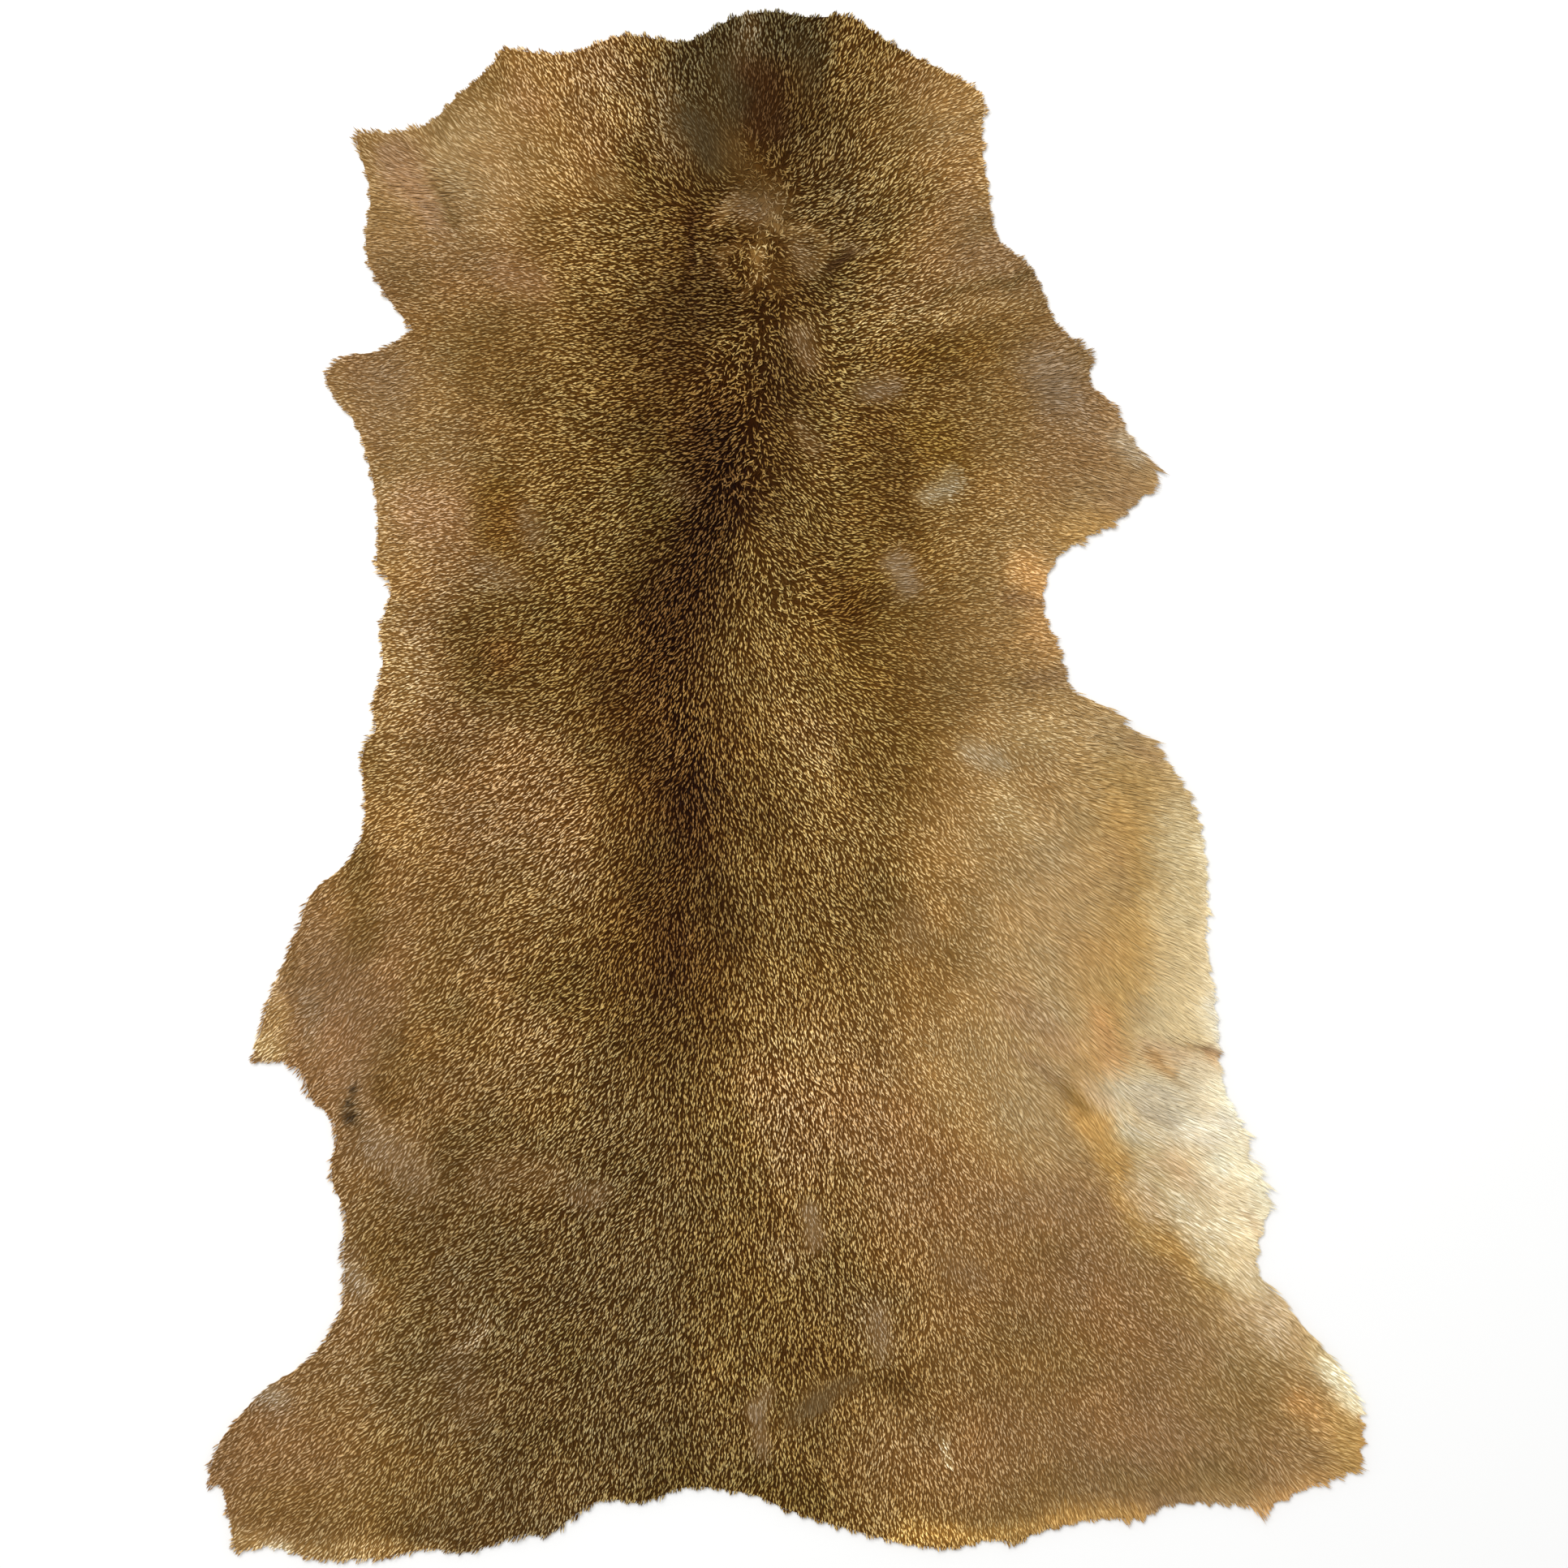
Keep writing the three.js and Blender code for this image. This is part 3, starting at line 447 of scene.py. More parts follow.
# Smooth fuzzy spots where the hair stands and blurs: tone, from and to across and down, half-width, strength
FUZZ = [
    ("mauve", 918, 45, 920, 80, 20, 0.25), ("rosy", 492, 196, 544, 264, 20, 0.5),
    ("slate", 850, 158, 882, 190, 27, 0.8), ("slate", 892, 85, 905, 150, 22, 0.65),
    ("umber", 930, 105, 942, 160, 22, 0.5), ("bister", 903, 185, 938, 232, 20, 0.65),
    ("slate", 985, 60, 990, 110, 16, 0.4), ("rump", 925, 248, 958, 262, 22, 0.5),
    ("mauve", 912, 250, 942, 262, 17, 0.4), ("bister", 918, 279, 938, 282, 8, 0.6),
    ("dove", 980, 305, 990, 325, 20, 0.6), ("bister", 947, 325, 955, 350, 12, 0.5),
    ("mauve", 1038, 306, 1054, 308, 11, 0.5), ("sand", 901, 242, 894, 262, 5, 0.8),
    ("sand", 894, 262, 890, 280, 5, 0.6), ("sand", 912, 300, 897, 318, 5, 0.5),
    ("sand", 897, 318, 901, 345, 5, 0.45), ("straw", 940, 292, 926, 312, 5, 0.6),
    ("sand", 930, 312, 932, 338, 5, 0.6), ("sand", 932, 338, 914, 362, 5, 0.45),
    ("sand", 958, 266, 971, 279, 5, 0.6), ("sand", 971, 279, 1012, 288, 5, 0.5),
    ("sand", 1012, 288, 1016, 304, 5, 0.45), ("sand", 1016, 304, 1007, 318, 5, 0.4),
    ("umber", 1018, 328, 1039, 313, 6, 0.85), ("mauve", 988, 400, 994, 440, 15, 0.6),
    ("mauve", 1060, 478, 1095, 475, 17, 0.7), ("grey", 1142, 606, 1164, 592, 15, 0.65),
    ("dove", 1092, 694, 1116, 726, 20, 0.85), ("grey", 1198, 926, 1228, 934, 14, 0.5),
    ("mauve", 985, 520, 995, 545, 14, 0.4), ("mauve", 610, 700, 640, 712, 18, 0.4),
    ("mauve", 655, 635, 665, 660, 14, 0.5), ("rosy", 630, 340, 660, 352, 24, 0.4),
    ("agouti", 735, 225, 765, 232, 16, 0.5), ("mauve", 835, 598, 855, 604, 14, 0.3),
    ("mauve", 718, 1466, 742, 1470, 16, 0.5), ("silver", 438, 1565, 444, 1580, 11, 0.4),
    ("silver", 332, 1712, 346, 1722, 13, 0.4), ("mauve", 570, 1680, 580, 1740, 26, 0.3),
    ("dove", 944, 1704, 927, 1732, 10, 0.6), ("dove", 927, 1732, 938, 1776, 14, 0.7),
    ("rump", 975, 1742, 1000, 1722, 17, 0.6), ("rump", 1000, 1722, 1050, 1698, 14, 0.7),
    ("dove", 1078, 1615, 1082, 1665, 13, 0.6), ("dove", 995, 1490, 1000, 1530, 13, 0.75),
    ("mauve", 1170, 1555, 1200, 1565, 24, 0.35), ("rosy", 600, 1450, 680, 1445, 26, 0.3),
    ("dove", 470, 1405, 515, 1442, 30, 0.5), ("agouti", 1112, 1128, 1126, 1150, 20, 0.4),
    ("dove", 1276, 458, 1300, 475, 26, 0.6), ("mauve", 490, 470, 500, 480, 30, 0.2),
]

# Small dark scars in the hair: centre across and down, size
SCARS = [(440, 1338, 6), (434, 1356, 5), (435, 1373, 8)]

# Which way the coat lies: across, down, heading in degrees from the right, turning left
LIE = [
    (440, 175, 150), (560, 150, 140), (640, 90, 128), (640, 210, 146), (740, 90, 118), (720, 190, 134),
    (800, 150, 122), (850, 70, 108), (870, 200, 116), (935, 60, 92), (1000, 80, 72), (1060, 80, 58),
    (1110, 130, 38), (1180, 150, 18), (1010, 180, 60), (1090, 220, 40), (1200, 240, 8), (905, 262, 186),
    (850, 300, 182), (1000, 275, 20), (985, 330, 330), (1070, 320, 24), (1160, 330, 20), (1270, 345, 18),
    (450, 280, 180), (460, 400, 186), (560, 260, 172), (600, 350, 184), (720, 300, 176), (720, 400, 188),
    (820, 420, 184), (900, 380, 184), (980, 420, 300), (1060, 400, 20), (1180, 420, 18), (1300, 440, 4),
    (420, 480, 186), (560, 500, 188), (700, 520, 190), (820, 540, 192), (900, 520, 214), (960, 520, 326),
    (1060, 520, 352), (1180, 520, 356), (1330, 520, 346), (1400, 590, 340), (470, 640, 188),
    (600, 640, 190), (740, 660, 202), (830, 640, 206), (880, 660, 250), (960, 640, 318), (1080, 620, 350),
    (1200, 640, 354), (1300, 660, 346), (1150, 700, 8), (1060, 740, 20), (1110, 780, 345), (1220, 790, 354),
    (1285, 780, 346), (490, 800, 192), (620, 800, 200), (740, 800, 214), (820, 800, 232), (872, 800, 264),
    (930, 820, 296), (1020, 840, 318), (1140, 870, 332), (1280, 860, 344), (460, 940, 202), (580, 950, 208),
    (720, 950, 214), (810, 960, 234), (860, 1000, 266), (920, 980, 290), (1010, 960, 306), (1130, 980, 316),
    (1250, 960, 324), (1380, 930, 346), (1450, 1000, 346), (430, 1100, 222), (540, 1100, 216),
    (680, 1100, 218), (790, 1110, 234), (855, 1160, 268), (940, 1130, 286), (1060, 1120, 302),
    (1200, 1110, 312), (1330, 1090, 322), (1450, 1120, 330), (340, 1260, 220), (420, 1230, 226),
    (540, 1260, 222), (690, 1260, 222), (790, 1280, 240), (860, 1340, 266), (980, 1280, 284),
    (1100, 1280, 296), (1220, 1270, 304), (1340, 1220, 314), (1460, 1250, 326), (450, 1400, 226),
    (600, 1400, 222), (740, 1420, 234), (930, 1440, 274), (1060, 1430, 285), (1200, 1430, 296),
    (1330, 1380, 312), (1420, 1340, 338), (1500, 1380, 336), (1440, 1450, 322), (1530, 1480, 330),
    (1500, 1550, 326), (430, 1540, 230), (560, 1540, 220), (700, 1560, 230), (820, 1580, 252),
    (940, 1600, 270), (1080, 1600, 282), (1220, 1590, 292), (1360, 1580, 304), (1480, 1610, 316),
    (1590, 1640, 320), (380, 1690, 218), (500, 1690, 220), (640, 1700, 230), (780, 1720, 252),
    (900, 1740, 268), (1050, 1760, 276), (1200, 1760, 288), (1350, 1750, 300), (1480, 1730, 312),
    (1620, 1730, 324), (1655, 1790, 338), (290, 1790, 216), (330, 1870, 224), (460, 1850, 232),
    (600, 1850, 240), (740, 1830, 256), (860, 1830, 266), (1080, 1870, 276), (1250, 1860, 286),
    (1420, 1840, 300), (1540, 1830, 310),
]

# Creases and wrinkles: from across, down to across, down, width in steps, rise in millimetres (minus: a dip)
CREASES = [
    (1310, 335, 1215, 362, 16, -1.4), (1215, 362, 1110, 405, 20, -1.2), (1110, 405, 1010, 440, 22, -0.9),
    (1270, 318, 1190, 332, 24, 0.7), (1250, 385, 1080, 440, 26, 0.9), (1200, 372, 1080, 425, 18, -0.7),
    (530, 215, 548, 250, 14, -0.9), (545, 240, 566, 276, 12, -1.3), (500, 270, 590, 300, 20, 0.5),
    (893, 240, 884, 330, 10, 1.0), (884, 330, 896, 440, 10, 0.8), (868, 250, 858, 350, 12, -0.9),
    (858, 350, 868, 450, 12, -0.8), (838, 240, 834, 340, 12, 0.7), (834, 340, 842, 440, 12, 0.6),
    (908, 300, 900, 400, 9, -0.7), (940, 280, 925, 345, 9, 1.0), (815, 330, 815, 470, 16, -0.5),
    (640, 240, 730, 265, 14, -0.5), (770, 140, 840, 180, 20, 0.5), (770, 242, 850, 236, 9, -0.9),
    (700, 215, 765, 245, 10, -0.6), (1180, 700, 1240, 740, 24, -0.9), (1240, 740, 1296, 764, 16, -1.5),
    (1000, 690, 1080, 650, 40, 0.6), (1010, 745, 1090, 730, 34, -0.7), (1180, 400, 1270, 375, 8, -0.9),
    (1230, 1260, 1310, 1330, 26, -0.8), (1300, 1320, 1350, 1370, 16, -1.2),
    (1399, 1289, 1445, 1326, 9, -1.2), (1436, 1281, 1462, 1287, 8, -1.2), (1462, 1287, 1503, 1298, 8, -1.8),
    (1400, 1265, 1490, 1276, 16, 0.7), (1430, 1306, 1480, 1312, 12, 0.6),
    (1380, 1360, 1450, 1390, 14, -0.6), (1395, 1345, 1470, 1372, 12, 0.6),
    (1450, 1410, 1530, 1440, 10, -0.6), (1395, 1450, 1480, 1550, 18, -0.8),
    (1480, 1550, 1545, 1585, 16, -1.1), (1510, 1490, 1555, 1515, 8, -0.9), (700, 560, 760, 700, 60, -0.5),
    (620, 690, 690, 620, 30, -0.5), (420, 1080, 470, 1200, 60, -0.5), (425, 440, 455, 520, 30, 0.5),
    (1410, 1850, 1560, 1800, 30, 0.4), (930, 1700, 925, 1790, 16, -0.6),
]


def ramp(table, where):
    """A value read off a table of (place, value) rows, at many places."""
    places = [row[0] for row in table]
    values = np.array([TONES.get(row[1], row[1]) for row in table], float)
    if values.ndim == 1:
        return np.interp(where, places, values)
    return np.stack([np.interp(where, places, values[:, i]) for i in range(3)], axis=1)


def step_places(points):
    """Metres across and along as steps across and down the view."""
    return points[:, 0] / STEP + MIDDLE[0], MIDDLE[1] - points[:, 1] / STEP


def spread(across, down, start, end, half):
    """1 on the line from start to end, soft at the half-width beside it and 0 well outside."""
    east, south = end[0] - start[0], end[1] - start[1]
    share = ((across - start[0]) * east + (down - start[1]) * south) / max(east**2 + south**2, 1e-9)
    share = np.clip(share, 0, 1)
    away = np.hypot(across - start[0] - share * east, down - start[1] - share * south)
    return np.exp(-MARK_FADE * (away / half) ** MARK_FADE_POWER)


def cloudy(across, down, size, seed):
    """Soft uneven values from -1 to 1, in patches about as wide as the size."""
    chances = np.random.default_rng(seed).uniform(-1, 1, (256, 256))
    u, v = across / size + 64, down / size + 64
    i, j = np.floor(u).astype(int), np.floor(v).astype(int)
    s, t = u - i, v - j
    s, t = s * s * (3 - 2 * s), t * t * (3 - 2 * t)
    corner = [[chances[(i + a) % 256, (j + b) % 256] for a in (0, 1)] for b in (0, 1)]
    upper = corner[0][0] * (1 - s) + corner[0][1] * s
    lower = corner[1][0] * (1 - s) + corner[1][1] * s
    return upper * (1 - t) + lower * t


def strayed(across, down, seed):
    """Steps by which the border of a marking strays at each place."""
    return sum(reach * cloudy(across, down, size, seed + i) for i, (reach, size) in enumerate(FRAY))


def streaks(points, heading, seed):
    """Uneven values from about -1 to 1, drawn out along the heading."""
    across, down = step_places(points)
    total = sum(cloudy(across + far * heading[:, 0], down - far * heading[:, 1], STREAK_SIZE, seed)
                for far in np.linspace(-STREAK_HALF, STREAK_HALF, STREAK_SAMPLES))
    return total / STREAK_SAMPLES * STREAK_GAIN


def coat_tones(points):
    """Colour of the coat, with painted crease light and shade, its speckle and its smoothness at each place."""
    across, down = step_places(points)
    east, south = across + strayed(across, down, 1), down + strayed(across, down, 3)
    out = east - np.interp(down, *zip(*SPINE)) + SPINE_STRAY * cloudy(across, down, SPINE_STRAY_SIZE, 5)
    colour = np.zeros((len(points), 3))
    heights = [row[1] for row in BODY]
    for i, (_, _, left, right) in enumerate(BODY):
        here = np.interp(south, heights, np.arange(len(BODY)) == i)
        colour += here[:, None] * np.where((out < 0)[:, None], ramp(left, -out), ramp(right, out))
    stripe = ramp(STRIPE, down) * np.exp(-((out / STRIPE_HALF) ** 2))
    colour += stripe[:, None] * (np.array(TONES["umber"]) - colour)
    speckle = ramp(SPECKLE, out) + STRIPE_SPECKLE * stripe
    smooth = np.zeros(len(points))

    def lay(tone, x0, y0, x1, y1, half, strength):
        """Lays a marking over the colour, painted crease light and shade among them, and gives how much of it
        is at each place.
        """
        share = strength * spread(east, south, (x0, y0), (x1, y1), half)
        colour[:] += share[:, None] * (np.array(TONES[tone]) - colour)
        return share

    for mark in MARKS_AND_PAINTED_CREASE_SHADING:
        lay(*mark)
    for x, y, half, strength, grain in GRAIN:
        share = strength * spread(east, south, (x, y), (x, y), half)
        speckle += share * (grain - speckle)
    for mark in FUZZ:
        share = lay(*mark)
        speckle += share * (FUZZ_SPECKLE - speckle)
        smooth = np.maximum(smooth, share)
    for x, y, size in SCARS:
        share = spread(across, down, (x, y), (x, y), size)
        colour *= 1 - SCAR_DARK * share[:, None]
    uneven = [strength * cloudy(across, down, size, seed)[:, None]
              for seed, (strength, size) in enumerate((MOTTLE, FINE_MOTTLE, WARM_MOTTLE), 6)]
    colour *= 1 + uneven[0] + uneven[1]
    colour *= 1 + uneven[2] * WARM
    seen = np.clip(colour / 255, 0, 1)
    linear = np.where(seen < 0.04045, seen / 12.92, ((seen + 0.055) / 1.055) ** 2.4)
    speckle = np.clip(speckle, 0, 1.3)
    return linear * (1 + speckle[:, None] * EVEN_OUT), speckle, smooth


def lie_of_coat(points):
    """Unit direction from root to tip at each place, seen from above, and how steady it is from 0 to 1."""
    across, down = step_places(points)
    total, weight = np.zeros((len(points), 2)), np.zeros(len(points))
    for x, y, heading in LIE:
        near = ((across - x) ** 2 + (down - y) ** 2 + LIE_REACH**2) ** LIE_POWER
        total += near[:, None] * np.array([math.cos(math.radians(heading)), math.sin(math.radians(heading))])
        weight += near
    size = np.linalg.norm(total, axis=1)
    return total / size[:, None], size / weight


def solid_points_and_faces():
    """The solid's points, with the doubles merged, and its triangles."""
    points = np.array([v.co for v in solid.data.vertices])
    merged, index = np.unique(np.round(points, 6), axis=0, return_inverse=True)
    faces = index.ravel()[np.array([list(p.vertices) for p in solid.data.polygons])]
    return merged, faces


def border_loop(faces):
    """The points round the border of some triangles, in the order of their sides."""
    sides = {(a, b) for f in faces for a, b in ((f[0], f[1]), (f[1], f[2]), (f[2], f[0]))}
    following = {a: b for a, b in sides if (b, a) not in sides}
    loop = [min(following)]
    while following[loop[-1]] != loop[0]:
        loop.append(following[loop[-1]])
    return loop


def rim_points(points, faces):
    """The rim of the solid's flat underside, in order and turning left."""
    under = faces[(points[faces][:, :, 2] < 1e-5).all(axis=1)]
    rim = points[border_loop(under)][:, :2]
    turning = np.roll(rim, -1, axis=0)
    area = np.sum(rim[:, 0] * turning[:, 1] - rim[:, 1] * turning[:, 0]) / 2
    return rim if area > 0 else rim[::-1].copy()


def nearest_on_rim(points, rim):
    """Distance from each point to the rim, and the direction from the point to it."""
    best = np.full(len(points), 1e9)
    toward = np.zeros((len(points), 2))
    for a, b in zip(rim, np.roll(rim, -1, axis=0)):
        side = b - a
        share = np.clip(((points - a) @ side) / (side @ side), 0, 1)
        away = a + share[:, None] * side - points
        distance = np.linalg.norm(away, axis=1)
        closer = distance < best
        best[closer] = distance[closer]
        toward[closer] = away[closer]
    return best, toward / np.maximum(best, 1e-9)[:, None]


def inside(points, rim):
    """True for each point inside the rim."""
    odd = np.zeros(len(points), bool)
    for a, b in zip(rim, np.roll(rim, -1, axis=0)):
        crosses = (a[1] > points[:, 1]) != (b[1] > points[:, 1])
        level = a[0] + (points[:, 1] - a[1]) / (b[1] - a[1] + 1e-15) * (b[0] - a[0])
        odd ^= crosses & (points[:, 0] < level)
    return odd


def solid_top(points, tree):
    """Smoothed height of the solid's top at each place."""
    heights = np.zeros(len(points))
    shifts = [(TOP_SMOOTHING * x, TOP_SMOOTHING * y) for x, y in ((0, 0), (1, 0), (-1, 0), (0, 1), (0, -1))]
    for i, (x, y) in enumerate(points):
        found = []
        for east, north in shifts:
            hit = tree.ray_cast(Vector((x + east, y + north, WELL_ABOVE)), Vector((0, 0, -1)))[0]
            if hit is not None:
                found.append(hit.z)
        heights[i] = sum(found) / len(found) if found else LEAST_SKIN
    return heights


def crease_rise(points):
    """Rise or dip of every crease at each place, metres."""
    across, down = step_places(points)
    rise = np.zeros(len(points))
    for x0, y0, x1, y1, wide, high in CREASES:
        side = np.array([x1 - x0, y1 - y0], float)
        share = np.clip(((across - x0) * side[0] + (down - y0) * side[1]) / (side @ side), 0, 1)
        away = np.hypot(across - x0 - share * side[0], down - y0 - share * side[1])
        swell = CREASE_END + (1 - CREASE_END) * np.sin(math.pi * share)
        rise += high / 1000 * swell * np.exp(-((away / wide * CREASE_NARROW) ** 2))
    return rise


def pelt_rim(rim):
    """The cut edge of the skin: the rim smoothed, and drawn in where the hair hangs over it."""
    smooth = (np.roll(rim, 1, axis=0) + 2 * rim + np.roll(rim, -1, axis=0)) / 4
    heading = np.roll(smooth, -1, axis=0) - np.roll(smooth, 1, axis=0)
    heading /= np.linalg.norm(heading, axis=1)[:, None]
    outward = np.stack([heading[:, 1], -heading[:, 0]], axis=1)
    over = np.clip((lie_of_coat(smooth)[0] * outward).sum(axis=1), 0, 1)
    return smooth - outward * (CUT_BACK + CUT_BACK_UNDER_HAIR * over)[:, None]


def mesh_object(name, points, faces):
    """An object of a plain mesh, in the scene."""
    mesh = bpy.data.meshes.new(name)
    mesh.from_pydata([tuple(p) for p in points], [], [tuple(f) for f in faces])
    mesh.update()
    made = bpy.data.objects.new(name, mesh)
    bpy.context.scene.collection.objects.link(made)
    return made


def keep(mesh, name, kind, values, domain="POINT"):
    """Stores values on a mesh under a name."""
    attribute = mesh.attributes.new(name, kind, domain)
    field = {"FLOAT": "value", "FLOAT_VECTOR": "vector", "FLOAT_COLOR": "color"}[kind]
    attribute.data.foreach_set(field, np.asarray(values, np.float32).ravel())


# The skin's plan: a close grid of points inside the cut edge, joined into triangles
cad_points, cad_faces = solid_points_and_faces()
rim = rim_points(cad_points, cad_faces)
tree = BVHTree.FromPolygons([tuple(p) for p in cad_points], [tuple(f) for f in cad_faces])
edge = pelt_rim(rim)
low, high = edge.min(axis=0), edge.max(axis=0)
columns = np.arange(low[0], high[0], PELT_PITCH)
rows = np.arange(low[1], high[1], PELT_ROW)
grid = np.array([(x + (j % 2) * PELT_PITCH / 2, y) for j, y in enumerate(rows) for x in columns])
grid = grid[inside(grid, edge)]
grid = grid[nearest_on_rim(grid, edge)[0] > PELT_EDGE_GAP]
plan = np.concatenate([edge, grid])
bound = [(i, (i + 1) % len(edge)) for i in range(len(edge))]
plan_points = [Vector(p) for p in plan]
flat_points, _, flat_faces, *_ = delaunay_2d_cdt(plan_points, bound, [list(range(len(edge)))], 1, 1e-7)
plan = np.array([tuple(p) for p in flat_points])
plan_faces = np.array([f for f in flat_faces if len(f) == 3])

# Its top is the solid's at the edge and lies lower by the depth of the coat inside, with sharper creases
to_rim, outward = nearest_on_rim(plan, rim)
edge_share = np.clip(nearest_on_rim(plan, edge)[0] / EDGE_SOFT, 0, 1)
top = solid_top(plan, tree) - COAT_DEPTH * np.sin(edge_share * math.pi / 2)
top += crease_rise(plan) * np.clip(to_rim / CREASE_FADE, 0, 1)
top = np.maximum(top, LEAST_SKIN * (EDGE_THINNER + (1 - EDGE_THINNER) * edge_share))


def halved(faces, *lists):
    """Each triangle cut into four at the middles of its sides, and every list with the middles added."""
    a, b, c = faces.T
    sides = np.sort(np.concatenate([np.stack(pair, axis=1) for pair in ((a, b), (b, c), (c, a))]), axis=1)
    ends, index = np.unique(sides, axis=0, return_inverse=True)
    ab, bc, ca = index.ravel().reshape(3, -1) + len(lists[0])
    quarters = [np.stack(three, axis=1) for three in ((a, ab, ca), (ab, b, bc), (ca, bc, c), (ab, bc, ca))]
    return [np.concatenate(quarters)] + [np.concatenate([v, v[ends].mean(axis=1)]) for v in lists]


coat_faces, coat_plan, coat_top, coat_room, coat_outward = halved(plan_faces, plan, top, to_rim, outward)
lie, steady = lie_of_coat(coat_plan)
unsettled = np.clip((UNSETTLED_FROM - steady) / (UNSETTLED_FROM - UNSETTLED_FULLY), 0, 1)
coat_colour, speckle, smooth = coat_tones(coat_plan)
sleek = np.clip((SLEEK_FROM - speckle) / (SLEEK_FROM - SLEEK_FULLY), 0, 1)
one_tone = np.clip((ONE_TONE_FROM - speckle) / (ONE_TONE_FROM - ONE_TONE_FULLY), 0, 1)
coat_colour *= 1 + one_tone[:, None] * SLEEK_CHANGE
streaked = BACK_STREAK + (SLEEK_STREAK - BACK_STREAK) * sleek
coat_colour *= 1 + (streaked * streaks(coat_plan, lie, 9))[:, None]
leaving = (lie * coat_outward).sum(axis=1)


def top_mesh(name, chosen):
    """The chosen triangles of the skin's top, with what the hair on it needs to know."""
    used, index = np.unique(chosen, return_inverse=True)
    points = np.column_stack([coat_plan[used], coat_top[used]])
    faces = index.reshape(chosen.shape)
    made = mesh_object(name, points, faces)
    mesh = made.data
    corners = points[faces]
    face_normal = np.cross(corners[:, 1] - corners[:, 0], corners[:, 2] - corners[:, 0])
    normal = np.zeros((len(points), 3))
    for i in range(3):
        np.add.at(normal, faces[:, i], face_normal)
    tilt = -(normal[:, :2] * lie[used]).sum(axis=1) / np.maximum(normal[:, 2], 1e-12)
    keep(mesh, "lie", "FLOAT_VECTOR", np.column_stack([lie[used], tilt]))
    keep(mesh, "coat_colour", "FLOAT_COLOR", np.column_stack([coat_colour[used], np.ones(len(used))]))
    for field, values in (("speckle", speckle), ("smooth", smooth), ("sleek", sleek),
                          ("unsettled", unsettled), ("room", coat_room), ("leaving", leaving)):
        keep(mesh, field, "FLOAT", values[used])
    return made


class Tree:
    """A node tree with short calls to add a node, set its inputs and join it."""

    def __init__(self, name, kind):
        self.tree = bpy.data.node_groups.new(name, kind)

    def take(self, name, kind, value=None):
        socket = self.tree.interface.new_socket(name=name, in_out="INPUT", socket_type=kind)
        if value is not None:
            socket.default_value = value
        return socket.identifier

    def give(self, name, kind):
        self.tree.interface.new_socket(name=name, in_out="OUTPUT", socket_type=kind)

    def node(self, kind, inputs=None, **settings):
        return add_node(self.tree, kind, inputs, **settings)


def add_node(tree, kind, inputs=None, **settings):
    """Adds a node with settings, then sets each input to a value or joins it to a socket."""
    made = tree.nodes.new(kind)
    for name, value in settings.items():
        setattr(made, name, value)
    for name, value in (inputs or {}).items():
        socket = made.inputs[name]
        if isinstance(value, bpy.types.NodeSocket):
            tree.links.new(value, socket)
        else:
            socket.default_value = value
    return made


def lock_shape():
    """One lock of hair, a metre long: thin, widest past its middle, with a ridge along its top."""
    points = [(0, 0, 0), (1, 0, 0), (LOCK_WIDEST, 0.5, LOCK_EAVES), (LOCK_WIDEST, -0.5, LOCK_EAVES)]
    made = mesh_object("lock", points, [(0, 2, 1), (0, 1, 3), (0, 3, 2), (1, 2, 3)])
    mesh = made.data
    keep(mesh, "along", "FLOAT", [0, 1, LOCK_WIDEST, LOCK_WIDEST])
    near, far = MAP_MARGIN, 1 - MAP_MARGIN
    places = [(0.5, near, 0), (0.5, far, 0), (near, LOCK_WIDEST, 0), (far, LOCK_WIDEST, 0)]
    keep(mesh, "lock_place", "FLOAT_VECTOR", [places[corner.vertex_index] for corner in mesh.loops], "CORNER")
    return made


# What each strip of hair is given: how far apart its roots are, and the size of its locks, metres
HAIR_SIZES = {
    "Over gap": OVER_GAP, "Under gap": UNDER_GAP, "Overhang": OVERHANG, "Back length": BACK_LENGTH,
    "Sleek length": SLEEK_LENGTH, "Back width": BACK_WIDTH, "Sleek width": SLEEK_WIDTH,
}


